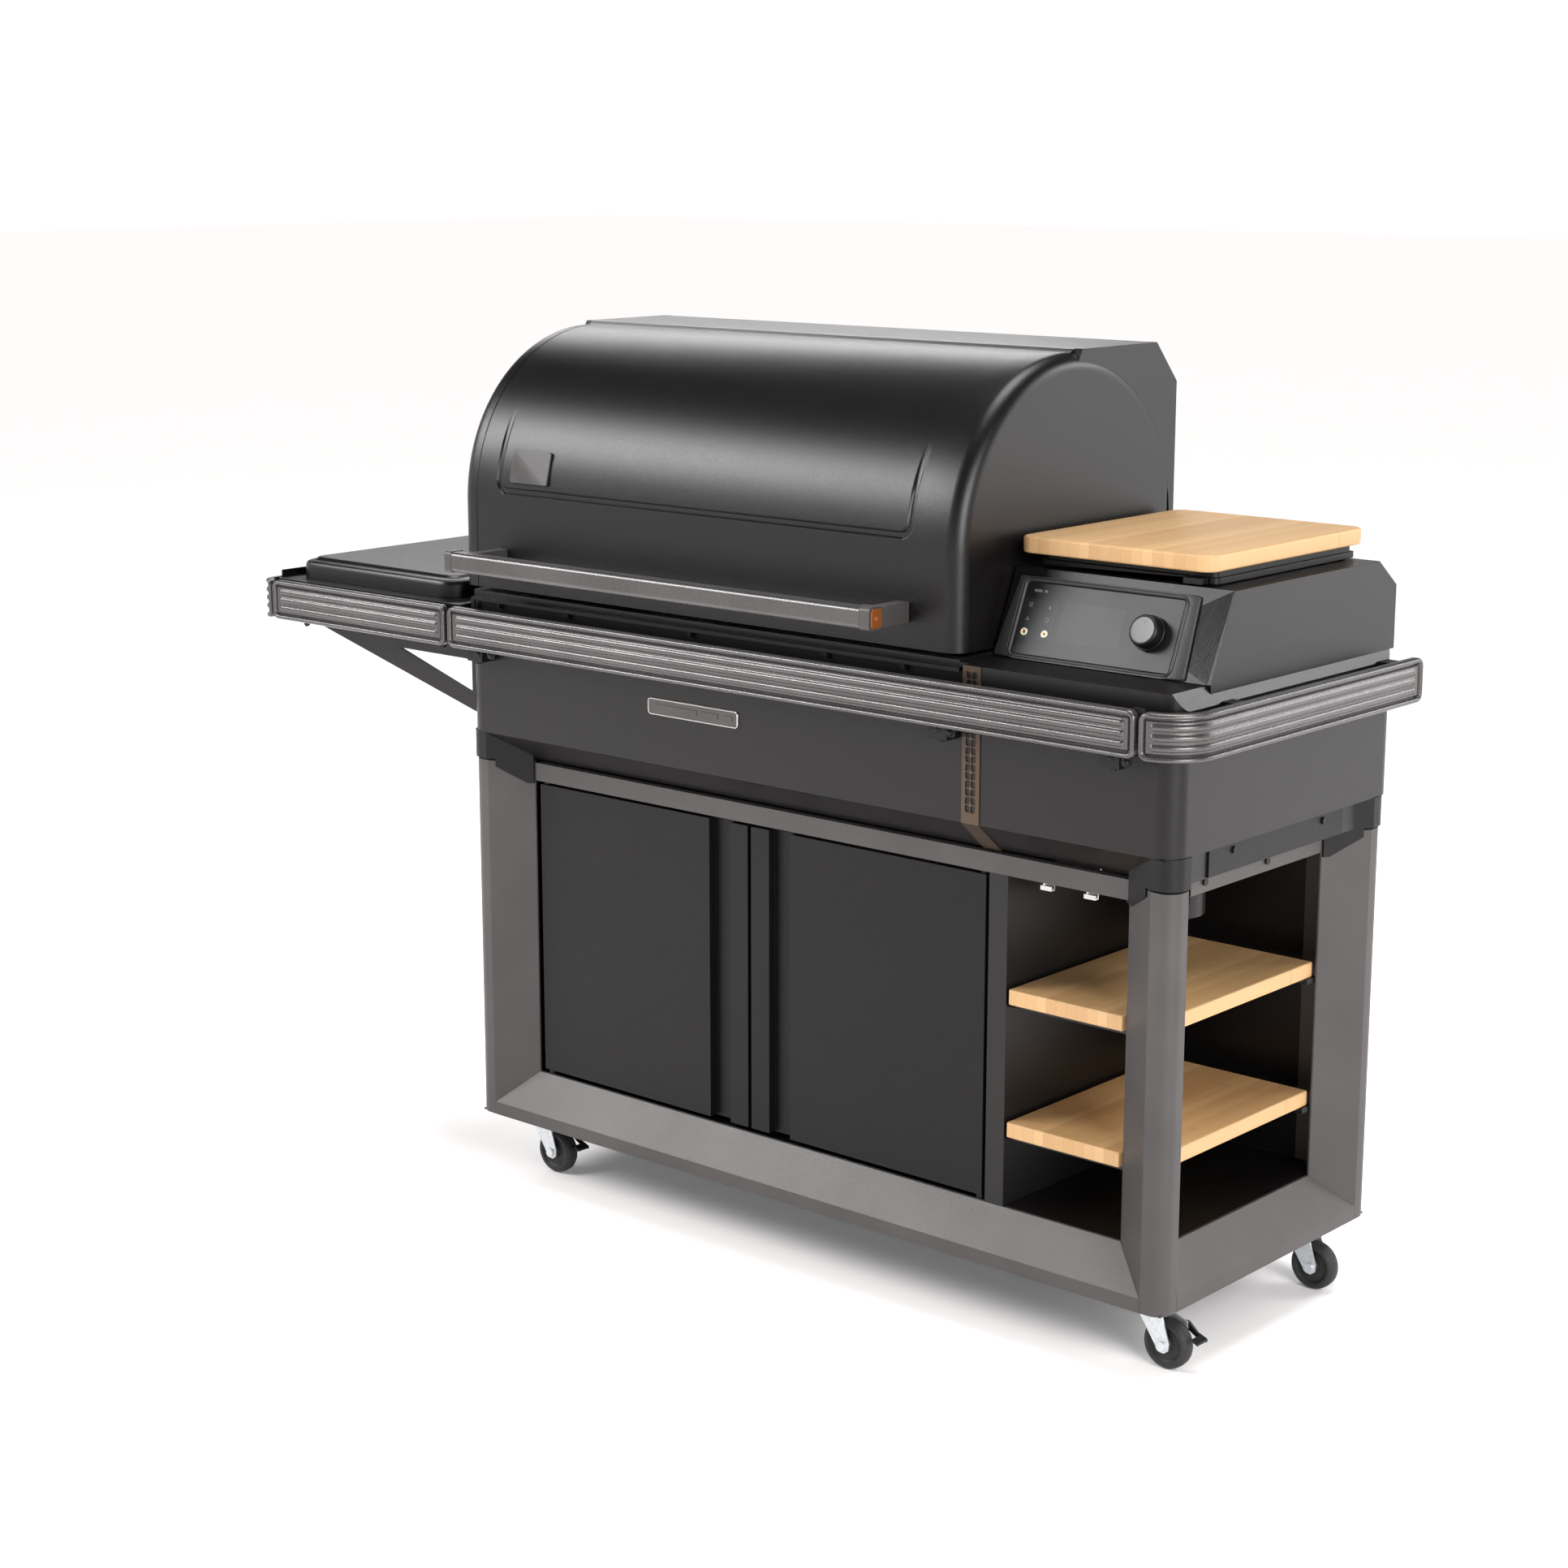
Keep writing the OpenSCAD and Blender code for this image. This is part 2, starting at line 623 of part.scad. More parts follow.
module lid_outer(m = 0) {
    r = 24 - m;
    intersection() {
        along_x(lid_x[0] + m, lid_x[1] - m) lid_outline(m);
        along_z(lid_z - 10, lid_top + 10)
            round_rect([lid_x[0] + m, lid_y[0] + m - 1], [lid_x[1] - m, lid_y[1] + 40], r);
        along_y(lid_y[0] - 5, lid_y[1] + 5)
            round_rect([lid_x[0] + m, lid_z - 60], [lid_x[1] - m, lid_top - m + 1], r);
    }
}
module lid_shell() {
    color(charcoal) difference() {
        lid_outer();
        lid_outer(wall);
    }
}
module lid_badge() {
    // Tilted to lie on the curve at the badge's height
    z = 1121;
    lean = asin((z - lid_arc[1]) / lid_r);
    color(graphite) translate([-312, lid_arc[0], lid_arc[1]]) rotate([-lean, 0, 0])
        along_y(-lid_r - 3.4, -lid_r + 2 - 2.4) round_rect([-39, -25], [39, 25], 4);
}
module handle_bar() {
    color(rail_grey) along_x(handle_x[0], handle_x[1] - 17) translate([handle_front, 0])
        round_rect([0, handle_z[0] + 1], [24, handle_z[1] - 1], 7);
}
// End castings: each holds one end of the bar and reaches back to the lid
module handle_brackets() {
    arm_l = [-376, -360];
    arm_r = [392, 408];
    color(graphite) {
        along_x(handle_x[0] - 14, handle_x[0]) translate([handle_front, 0])
            round_rect([0, handle_z[0]], [28, handle_z[1]], 6);
        along_x(handle_x[1] - 17, handle_x[1]) translate([handle_front, 0])
            round_rect([0, handle_z[0]], [28, handle_z[1]], 6);
        box([handle_x[0] - 14, handle_front + 24, handle_z[0] + 2],
            [arm_l[1], handle_front + 30, handle_z[1] - 2]);
        box([arm_l[0], handle_front + 24, handle_z[0] + 2], [arm_l[1], lid_y[0], handle_z[1] - 2]);
        box([arm_r[0] - 14, handle_front + 24, handle_z[0] + 2],
            [handle_x[1], handle_front + 30, handle_z[1] - 2]);
        box([arm_r[0], handle_front + 24, handle_z[0] + 2], [handle_x[1], lid_y[0], handle_z[1] - 2]);
    }
}
module handle_end_cap() {
    color(bronze) along_x(handle_x[1], handle_x[1] + 2.5) translate([handle_front, 0])
        round_rect([3, handle_z[0] + 3], [25, handle_z[1] - 3], 5);
    color(steel) rod_x(handle_x[1] + 2.5, handle_x[1] + 5, handle_front + 14, (handle_z[0] + handle_z[1]) / 2, 3);
}
module lid_hinge_frames() {
    color(graphite) for (x = lid_hinge_xs) {
        for (e = [-26, 11]) {
            rod_x(x + e, x + e + 15, lid_pin[0], lid_pin[1], 7);
            box([x + e, lid_pin[0] - 5, rim_z], [x + e + 15, lid_pin[0] + 5, lid_pin[1]]);
        }
        box([x - 26, lid_pin[0] - 6, rim_z], [x + 26, body_y[1], rim_z + 2.5]);
        rod_x(x - 28, x + 28, lid_pin[0], lid_pin[1], lid_pin_r);
    }
}
module lid_hinge_leaves() {
    color(graphite) for (x = lid_hinge_xs) difference() {
        union() {
            rod_x(x - 10, x + 10, lid_pin[0], lid_pin[1], 7);
            box([x - 10, lid_y[1], lid_pin[1]], [x + 10, lid_pin[0] - 2, lid_pin[1] + 7]);
            box([x - 22, lid_y[1], lid_pin[1] + 6], [x + 22, lid_y[1] + 3, lid_pin[1] + 48]);
        }
        rod_x(x - 11, x + 11, lid_pin[0], lid_pin[1], lid_pin_r + 0.05);
    }
}

// ---------- rails and side shelf ----------

rail_back = rail_front + rail_t;
module front_rail() {
    color(rail_grey) along_y(rail_front, rail_back)
        round_rect([-445, rail_z[0]], [810.6, rail_z[1]], 9);
}
// Plan of a rail that wraps round a front corner, drawn for the right-hand end
module wrap_plan(start, end_x, end_y, r) {
    cx = end_x - r;
    cy = rail_front + r;
    difference() {
        translate([cx, cy]) circle(r, $fn = 96);
        translate([cx, cy]) circle(r - rail_t, $fn = 96);
        translate([cx - 2 * r, cy - 2 * r]) square([2 * r, 4 * r]);
        translate([cx - 2 * r, cy]) square([4 * r, 2 * r]);
    }
    translate([start, rail_front]) square([cx - start, rail_t]);
    translate([end_x - rail_t, cy]) square([rail_t, end_y - cy]);
}
module right_rail() {
    color(rail_grey) along_z(rail_z[0], rail_z[1]) wrap_plan(816, rail_ends[1], rail_rear, 66);
}
module shelf_rails() {
    color(rail_grey) {
        along_y(rail_front, rail_back) round_rect([-850.3, rail_z[0]], [-451.6, rail_z[1]], 9);
        along_z(rail_z[0], rail_z[1]) mirror([1, 0, 0]) wrap_plan(857, -rail_ends[0], 236, 28);
    }
}
// Thickness of the rim at the shelf's outer end
rim_t = 2.6;
module rail_brackets() {
    color(black) {
        for (x = [-412, 476, 750]) {
            box([x, rail_back, 826], [x + 32, body_y[0], 850]);
            rod_z(822, 826, x + 16, rail_back + 9, 5);
        }
        for (y = [-150, 235]) box([body_x[1], y, 880], [rail_ends[1] - rail_t, y + 26, 904]);
        for (x = [-800, -480]) {
            box([x, rail_back, 846], [x + 24, shelf_y[0], 870]);
            rod_y(rail_back, rail_back + 4, x + 12, 842, 5);
        }
        for (y = [-150, 150]) box([rail_ends[0] + rail_t, y, 860], [shelf_x[0] - rim_t, y + 26, 884]);
    }
}
module side_shelf() {
    top = 906;
    low = 842;
    t = 3;
    // Raised rim along the outer end
    color(black) box([shelf_x[0] - rim_t, shelf_y[0] + 14, top - 48],
        [shelf_x[0] + eps, shelf_y[1] - 4, top + 11]);
    color(charcoal) difference() {
        along_z(low, top) round_rect([shelf_x[0], shelf_y[0]], [shelf_x[1], shelf_y[1]], 12);
        along_z(low - 1, top - t)
            round_rect([shelf_x[0] + t, shelf_y[0] + t], [shelf_x[1] - t, shelf_y[1] - t], 9);
    }
}
// Triangular plates that carry the shelf from the end of the body
module shelf_brackets() {
    top = 842;
    // The front one reaches in to the body's rounded corner
    color(charcoal) for (b = [[-230, 1.2], [190, 0]]) along_y(b[0], b[0] + 4) difference() {
        polygon([[body_x[0] + b[1], top], [-812, top], [-812, 835], [body_x[0] + b[1], 736]]);
        polygon([[-612, 817], [-450, 817], [-450, 767]]);
    }
}
hob_x = [-845, -500];
hob_y = [-215, 205];
module cooktop() {
    color(black) {
        along_z(906, 912) round_rect([hob_x[0], hob_y[0]], [hob_x[1], hob_y[1]], 12);
        along_z(912, 915) round_rect([hob_x[0] + 6, hob_y[0] + 6], [hob_x[1] - 6, hob_y[1] - 6], 8);
    }
}
module cooktop_cover() {
    outer = [[-857, -233], [-486, 222]];
    skirt_top = 930;
    top = 939;
    inset = 19;
    color(charcoal) difference() {
        union() {
            along_z(906.5, skirt_top) round_rect(outer[0], outer[1], 38);
            along_z(skirt_top - eps, (skirt_top + top) / 2)
                round_rect(outer[0] + [inset / 2, inset / 2], outer[1] - [inset / 2, inset / 2], 34);
            along_z(skirt_top, top)
                round_rect(outer[0] + [inset, inset], outer[1] - [inset, inset], 30);
        }
        along_z(905, top - 9)
            round_rect(outer[0] + [6, 6], outer[1] - [6, 6], 32);
    }
}

// ---------- hopper and controls ----------

// Places something on the control panel: x, distance up the slope, height above it
module on_panel(x, s, h) {
    translate([x, panel_foot[0], panel_foot[1]]) rotate([panel_tilt, 0, 0])
        translate([0, s, h]) children();
}
module bin_form(m) {
    intersection() {
        along_x(520, 840) polygon([[-80 + m, hopper_top + m], [-80 + m, 930], [throat[1][0] + m, 790],
            [throat[1][1] - m, 790], [231 - m, 930], [231 - m, hopper_top + m]]);
        along_y(-100, 250) polygon([[537 + m, hopper_top + m], [537 + m, 930], [throat[0][0] + m, 790],
            [throat[0][1] - m, 790], [789 - m, 930], [789 - m, hopper_top + m]]);
    }
    box([throat[0][0] + m, throat[1][0] + m, 739 - m], [throat[0][1] - m, throat[1][1] - m, 790 + eps]);
}
module hopper_bin() {
    color(steel) difference() {
        bin_form(0);
        bin_form(2.5);
        box([500, -200, hopper_top - 1], [900, 300, hopper_top + 10]);
    }
}
// Shallow tray-shaped lid with a raised seat for the board and a rear hinge pin
module hopper_lid() {
    color(black) {
        difference() {
            union() {
                along_z(hopper_top + 1.5, 1050) round_rect([524, -98], [804, 246], 10);
                along_z(1050, board_z[0] - 0.3) round_rect([528, -94], [800, 242], 10);
                for (x = hopper_hinge_xs) {
                    rod_x(x, x + 20, hopper_hinge[0], hopper_hinge[1], 5);
                    box([x, 240, hopper_hinge[1] - 2], [x + 20, hopper_hinge[0], hopper_hinge[1] + 2]);
                }
            }
            along_z(hopper_top, 1049) round_rect([530, -90], [797, 236], 8);
            for (x = hopper_hinge_xs) rod_x(x - 1, x + 21, hopper_hinge[0], hopper_hinge[1], 2.05);
        }
        // Catch at the front
        box([762, -112, 1042], [790, -98, 1050]);
    }
}
module cutting_board() {
    color(bamboo) along_z(board_z[0], board_z[1])
        round_rect([board_x[0], board_y[0]], [board_x[1], board_y[1]], 22);
}
module control_panel() {
    frame_t = 4;
    glass_x = [527, 778];
    glass_s = [6, 106];
    // Bezel
    color(black) on_panel(0, 0, 0.05) difference() {
        linear_extrude(frame_t) polygon([[501, 1], [512, 111], [515, 113], [795, 113], [798, 111], [803, 1]]);
        translate([0, 0, -1]) linear_extrude(frame_t + 2)
            round_rect([glass_x[0], glass_s[0]], [glass_x[1], glass_s[1]], 5);
    }
    // Glass, with a bush for the knob's shaft behind it
    color(black) on_panel(0, 0, 0.05) difference() {
        union() {
            linear_extrude(2.5) round_rect([glass_x[0] + 0.3, glass_s[0] + 0.3],
                [glass_x[1] - 0.3, glass_s[1] - 0.3], 5);
            translate([knob_at[0], knob_at[1], -9]) cylinder(h = 10, r = 8);
        }
        translate([knob_at[0], knob_at[1], -10]) cylinder(h = 20, r = 4.05);
        for (x = jack_xs) translate([x, jack_s, -10]) cylinder(h = 20, r = 4.2);
    }
    // Temperature probe sockets
    color(steel) for (x = jack_xs) on_panel(x, jack_s, 0.05) difference() {
        union() {
            translate([0, 0, -12]) cylinder(h = 16, r = 4);
            translate([0, 0, 2.5]) cylinder(h = 1.5, r = 6);
        }
        translate([0, 0, -8]) cylinder(h = 20, r = 1.75);
    }
}
module knob_shaft() {
    color(steel) on_panel(knob_at[0], knob_at[1], 0) {
        translate([0, 0, -16]) cylinder(h = 34, r = 4);
        translate([0, 0, -16]) cylinder(h = 4, r = 7);
    }
}
module control_knob() {
    color(black) on_panel(knob_at[0], knob_at[1], 0) difference() {
        union() {
            translate([0, 0, 5]) cylinder(h = 17, r = knob_r);
            translate([0, 0, 22]) cylinder(h = 2, r = knob_r - 1.5);
        }
        translate([0, 0, 4]) cylinder(h = 14.5, r = 4.06);
    }
}

// ---------- fire, auger and fan ----------

module fire_pot() {
    color(steel) translate([fire_pot_xy[0], fire_pot_xy[1], body_floor_z + wall]) difference() {
        cylinder(h = 82, r = 62);
        translate([0, 0, 4]) cylinder(h = 90, r = 58);
        translate([0, 0, auger_axis[1] - body_floor_z - wall]) rotate([0, 90, 0])
            cylinder(h = 90, r = tube_r + 0.5);
    }
}
module auger() {
    x0 = 96;
    x1 = 744;
    pitch = 54;
    color(steel) {
        rod_x(x0, 772, auger_axis[0], auger_axis[1], 6);
        translate([x0, auger_axis[0], auger_axis[1]]) rotate([0, 90, 0])
            linear_extrude(x1 - x0, twist = -360 * (x1 - x0) / pitch, slices = 144, $fn = 4)
                translate([0, -2]) square([21.5, 4]);
    }
}
module auger_drive() {
    color(steel) difference() {
        rod_x(fire_pot_xy[0] + 61, 746, auger_axis[0], auger_axis[1], tube_r - 0.3);
        rod_x(fire_pot_xy[0] + 40, 747, auger_axis[0], auger_axis[1], tube_r - 3);
        box([throat[0][0] + 3, throat[1][0] + 3, auger_axis[1]], [throat[0][1] - 3, throat[1][1] - 3, 760]);
    }
    // Gearbox and motor
    color(black) difference() {
        box([746, -20, 684], [776, 60, 752]);
        rod_x(745, 777, auger_axis[0], auger_axis[1], 6.05);
    }
    color(graphite) rod_x(776.2, 826, 38, 722, 22);
}
module fan_rotor() {
    blades = 16;
    color(steel) {
        rod_x(549, 600, fan_axis[0], fan_axis[1], 4);
        rod_x(584, 587, fan_axis[0], fan_axis[1], 44);
        translate([556, fan_axis[0], fan_axis[1]]) rotate([0, 90, 0])
            for (i = [0 : blades - 1]) rotate(i * 360 / blades)
                translate([30, -0.75, 0]) cube([14, 1.5, 28.5]);
    }
}
module fan_housing() {
    lo = [544, fan_axis[0] - 56, fan_axis[1] - 54];
    hi = [596, fan_axis[0] + 56, fan_axis[1] + 56];
    color(graphite) difference() {
        box(lo, hi);
        rod_x(lo[0] + 3, hi[0] - 3, fan_axis[0], fan_axis[1], 50);
        rod_x(lo[0] - 1, lo[0] + 5, fan_axis[0], fan_axis[1], 24);
        rod_x(hi[0] - 5, hi[0] + 5, fan_axis[0], fan_axis[1], 4.05);
        box([lo[0] + 3, lo[1] - 1, fan_axis[1] + 20], [hi[0] - 3, fan_axis[0], fan_axis[1] + 50]);
    }
    color(black) difference() {
        rod_x(hi[0], hi[0] + 40, fan_axis[0], fan_axis[1], 26);
        rod_x(hi[0] - 1, hi[0] + 6, fan_axis[0], fan_axis[1], 4.05);
    }
}
// Heat baffle over the fire pot, and the drip tray above it
module drip_tray() {
    baffle_z = 772;
    tray_z = 806;
    color(steel) {
        box([-330, -150, baffle_z], [400, 190, baffle_z + 3]);
        for (x = [-320, 390], y = [-140, 180])
            rod_z(body_floor_z + wall, baffle_z, x, y, 6);
        difference() {
            box([-395, -190, tray_z], [470, 225, tray_z + 16]);
            box([-393, -188, tray_z + 2], [468, 223, tray_z + 17]);
        }
        // Spacers that the tray rests on
        for (x = [-310, 380], y = [-130, 170]) rod_z(baffle_z + 3 - eps, tray_z - 0.2, x, y, 6);
    }
}
module cooking_grates() {
    z = 889;
    rods = 22;
    color(steel) for (side = [[-410, 35], [39, 484]]) {
        for (i = [0 : rods - 1])
            rod_y(-205, 239, side[0] + 4 + i * (side[1] - side[0] - 8) / (rods - 1), z + 8, 2.6);
        for (y = [-208, 238]) box([side[0], y, z], [side[1], y + 4, z + 12]);
        rod_x(side[0], side[1], 15, z + 3.4, 3);
    }
    // Upper rack on side legs
    color(steel) {
        for (y = [-20 : 22 : 200]) rod_x(-400, 470, y, 1052, 2.6);
        for (x = [-400, 466]) {
            box([x, -24, 1046], [x + 4, 202, 1054]);
            for (y = [-24, 196]) box([x, y, z + 12], [x + 4, y + 6, 1046]);
        }
    }
}

// ---------- small parts ----------

module grease_keg() {
    low = 583;
    top = 634;
    color(black) translate([keg_xy[0], keg_xy[1], 0]) difference() {
        union() {
            rod_z(low, top, 0, 0, 52);
            along_z(628, top) round_rect([-64, -54], [64, 54], 8);
            box([-18, -68, 604], [18, -50, 609]);
        }
        rod_z(low + 3, top + 1, 0, 0, 49);
    }
}
module tool_hooks() {
    color(steel) {
        for (x = [612, 682]) {
            box([x, plane_front + 6, top_rail_z[0] - 9], [x + 18, plane_front + 8, top_rail_z[0]]);
            box([x, plane_front, top_rail_z[0] - 9], [x + 18, plane_front + 6, top_rail_z[0] - 7]);
            box([x, plane_front, top_rail_z[0] - 7], [x + 18, plane_front + 2, top_rail_z[0] - 3]);
        }
        // Runners that carry the grease keg under the body
        for (side = [-1, 1]) translate([keg_xy[0], 0, 0]) mirror([side < 0 ? 1 : 0, 0, 0]) {
            box([65, -95, 622], [68, 30, body_floor_z]);
            box([54.5, -95, 622], [65, 30, 627.7]);
        }
    }
}
module power_inlet() {
    y = body_y[1];
    color(black) difference() {
        union() {
            along_y(y, y + 2.5) round_rect([inlet_x[0], inlet_z[0]], [inlet_x[1], inlet_z[1]], 3);
            box([inlet_x[0] + 5, y - 24, inlet_z[0] + 5], [inlet_x[1] - 5, y, inlet_z[1] - 5]);
        }
        // Mains socket
        box([inlet_x[0] + 9, y - 18, inlet_z[0] + 8], [inlet_x[0] + 35, y + 3, inlet_z[1] - 8]);
        // Rocker recess with its pivot holes
        box([rocker_x - 6, y - 12, 749], [rocker_x + 6, y + 3, 767]);
        rod_x(rocker_x - 8, rocker_x + 8, y - 3, 758, 1.55);
    }
    color(steel) for (x = [inlet_x[0] + 15, inlet_x[0] + 22, inlet_x[0] + 29])
        box([x - 1, y - 18, 756], [x + 1, y - 6, 760]);
}
module power_switch() {
    y = body_y[1] - 3;
    color(black) {
        rod_x(rocker_x - 5.7, rocker_x + 5.7, y, 758, 7.5);
        rod_x(rocker_x - 7.5, rocker_x + 7.5, y, 758, 1.5);
        box([rocker_x - 5.7, y + 6, 756.5], [rocker_x + 5.7, y + 8, 759.5]);
    }
}
// Button-head bolts that show on the cart and the body
module frame_bolts() {
    color(steel) {
        for (x = [-200, 100, 400, 640]) rod_y(plane_rear, plane_rear + 3, x, 652, 5);
        for (y = [-110, 40]) rod_x(plane_right, plane_right + 3, y, 655, 5);
        for (y = [-90, 130])
            rod_x(body_x[1] - under_inset + end_strip_t, body_x[1] - under_inset + end_strip_t + 3, y, 699, 5);
        for (x = [-380, -100, 200, 470, 600, 800]) rod_y(body_y[1], body_y[1] + 3, x, 860, 5);
    }
}

module placed() {
    translate(origin_shift) children();
}

placed() cart_posts();
placed() base_rails();
placed() top_rails();
placed() corner_caps();
placed() cabinet_shell();
placed() bay_shelves();
placed() shelf_supports();
placed() door_left();
placed() door_right();
placed() door_hinge_pins();
placed() caster_plates();
placed() caster_fork_fl();
placed() caster_fork_fr();
placed() caster_fork_rl();
placed() caster_fork_rr();
placed() wheel_fl();
placed() wheel_fr();
placed() wheel_rl();
placed() wheel_rr();
placed() brake_lever_fl();
placed() brake_lever_fr();
placed() barrel_body();
placed() hopper_body();
placed() hopper_housing();
placed() vent_strip();
placed() ledge_trim();
placed() front_badge();
placed() lid_shell();
placed() lid_badge();
placed() handle_bar();
placed() handle_brackets();
placed() handle_end_cap();
placed() lid_hinge_frames();
placed() lid_hinge_leaves();
placed() front_rail();
placed() right_rail();
placed() shelf_rails();
placed() rail_brackets();
placed() side_shelf();
placed() shelf_brackets();
placed() cooktop();
placed() cooktop_cover();
placed() hopper_bin();
placed() hopper_lid();
placed() cutting_board();
placed() control_panel();
placed() knob_shaft();
placed() control_knob();
placed() fire_pot();
placed() auger();
placed() auger_drive();
placed() fan_rotor();
placed() fan_housing();
placed() drip_tray();
placed() cooking_grates();
placed() grease_keg();
placed() tool_hooks();
placed() power_inlet();
placed() power_switch();
placed() frame_bolts();
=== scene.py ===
import json
import math

import bmesh
import bpy
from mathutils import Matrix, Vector


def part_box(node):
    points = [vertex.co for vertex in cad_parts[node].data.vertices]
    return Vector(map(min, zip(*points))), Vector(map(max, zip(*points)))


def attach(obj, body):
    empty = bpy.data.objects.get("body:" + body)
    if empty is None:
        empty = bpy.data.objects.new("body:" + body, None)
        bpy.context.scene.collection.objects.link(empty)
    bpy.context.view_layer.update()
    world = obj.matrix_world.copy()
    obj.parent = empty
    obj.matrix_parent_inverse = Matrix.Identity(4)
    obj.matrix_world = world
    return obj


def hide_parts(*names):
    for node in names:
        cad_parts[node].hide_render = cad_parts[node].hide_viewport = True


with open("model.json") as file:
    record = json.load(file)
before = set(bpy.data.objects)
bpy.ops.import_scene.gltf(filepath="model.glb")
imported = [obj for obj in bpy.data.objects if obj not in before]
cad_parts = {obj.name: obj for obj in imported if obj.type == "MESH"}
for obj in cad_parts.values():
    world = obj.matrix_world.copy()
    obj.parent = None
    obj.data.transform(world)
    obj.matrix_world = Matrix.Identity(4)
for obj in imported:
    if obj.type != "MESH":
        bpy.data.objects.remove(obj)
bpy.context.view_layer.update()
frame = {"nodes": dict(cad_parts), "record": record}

SLOT_OF = {part["node"]: part["material_slot"] for part in frame["record"]["subparts"]}
BODY_OF = {node: body for body, held in frame["record"]["behaviour"]["bodies"].items() for node in held}
MM = 0.001
BOXES = {}


def box_of(node):
    """A node's lowest and highest corners, looked up once."""
    if node not in BOXES:
        BOXES[node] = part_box(node)
    return BOXES[node]


# ---------- camera, light and floor ----------

CAMERA_AZIMUTH = math.radians(41.2415)
CAMERA_PITCH = math.radians(12.4535)
CAMERA_PLACE = (2.8417, -3.2472, 1.6039)
CAMERA_LENS = 67.618
CAMERA_SENSOR = 36.0


def set_camera():
    """A long lens from the front right, a little above the grill."""
    level = math.cos(CAMERA_PITCH)
    data = bpy.data.cameras.new("camera")
    data.lens = CAMERA_LENS
    data.sensor_width = CAMERA_SENSOR
    camera = bpy.data.objects.new("camera", data)
    bpy.context.scene.collection.objects.link(camera)
    camera.location = CAMERA_PLACE
    look = Vector((-math.sin(CAMERA_AZIMUTH) * level, math.cos(CAMERA_AZIMUTH) * level,
                   -math.sin(CAMERA_PITCH)))
    camera.rotation_mode = "QUATERNION"
    camera.rotation_quaternion = look.to_track_quat("-Z", "Y")
    bpy.context.scene.camera = camera


def place_light(name, data, place, target):
    """Links a light that faces target; it lights and reflects, but isn't seen itself."""
    light = bpy.data.objects.new(name, data)
    bpy.context.scene.collection.objects.link(light)
    light.location = place
    light.rotation_mode = "QUATERNION"
    light.rotation_quaternion = (Vector(target) - Vector(place)).to_track_quat("-Z", "Y")
    light.visible_camera = False


def area_light(name, place, target, size, power):
    """A rectangular softbox."""
    data = bpy.data.lights.new(name, "AREA")
    data.shape = "RECTANGLE"
    data.size, data.size_y = size
    data.energy = power
    place_light(name, data, place, target)


def sun_light(name, place, strength, width):
    """A distant soft light that shines from place to the origin; width is its angular size in degrees."""
    data = bpy.data.lights.new(name, "SUN")
    data.energy = strength
    data.angle = math.radians(width)
    place_light(name, data, place, (0.0, 0.0, 0.0))


def set_world():
    """A pale studio: bright at the horizon, dim above it, and a little lighter again overhead."""
    world = bpy.data.worlds.new("studio")
    world.use_nodes = True
    bpy.context.scene.world = world
    tree = world.node_tree
    coordinate = tree.nodes.new("ShaderNodeTexCoord")
    axes = tree.nodes.new("ShaderNodeSeparateXYZ")
    tree.links.new(coordinate.outputs["Generated"], axes.inputs[0])
    ramp = tree.nodes.new("ShaderNodeValToRGB")
    ramp.color_ramp.elements[0].position = 0.0
    ramp.color_ramp.elements[0].color = (1.20, 1.15, 1.14, 1)
    ramp.color_ramp.elements[1].position = 1.0
    ramp.color_ramp.elements[1].color = (0.50, 0.50, 0.50, 1)
    for height, level in ((0.12, 1.10), (0.28, 0.05), (0.78, 0.01), (0.93, 0.40)):
        stop = ramp.color_ramp.elements.new(height)
        stop.color = (level, level, level, 1)
    tree.links.new(axes.outputs["Z"], ramp.inputs[0])
    tree.links.new(ramp.outputs[0], tree.nodes["Background"].inputs["Color"])


def set_floor():
    """A pale floor, so large that its edge lies close to the horizon."""
    half = 40.0
    corners = [(-half, -half, 0), (half, -half, 0), (half, half, 0), (-half, half, 0)]
    mesh = bpy.data.meshes.new("floor")
    mesh.from_pydata(corners, [], [(0, 1, 2, 3)])
    floor = bpy.data.objects.new("floor", mesh)
    bpy.context.scene.collection.objects.link(floor)
    material = bpy.data.materials.new("floor")
    material.use_nodes = True
    shader = material.node_tree.nodes["Principled BSDF"]
    shader.inputs["Base Color"].default_value = (0.94, 0.905, 0.90, 1)
    shader.inputs["Roughness"].default_value = 0.8
    # A faint glow keeps the far floor as white as the backdrop
    shader.inputs["Emission Color"].default_value = (0.90, 1.0, 1.0, 1)
    shader.inputs["Emission Strength"].default_value = 0.075
    floor.data.materials.append(material)


def set_lights():
    """A bright even floor, a band of light along the lid's front, and a lighter right-hand side."""
    bpy.context.scene.view_settings.view_transform = "Standard"
    sun_light("overhead", (-0.15, 0.5, 3.0), 2.7, 36.0)
    area_light("front_left_softbox", (-2.75, -2.85, 3.0), (0.0, -0.1, 1.1), (3.2, 1.15), 215)
    area_light("rear_left_softbox", (-3.0, 2.9, 3.1), (0.0, 0.0, 1.1), (2.6, 0.7), 45)
    area_light("right_softbox", (3.2, 2.9, 1.2), (0.4, 0.0, 0.7), (2.6, 1.9), 30)
    area_light("rear_softbox", (2.35, 2.95, 2.45), (0.85, 0.0, 0.15), (1.4, 1.0), 48)
    area_light("right_front_fill", (3.4, -1.3, 1.7), (0.7, 0.0, 0.5), (1.6, 1.6), 105)


# ---------- materials ----------

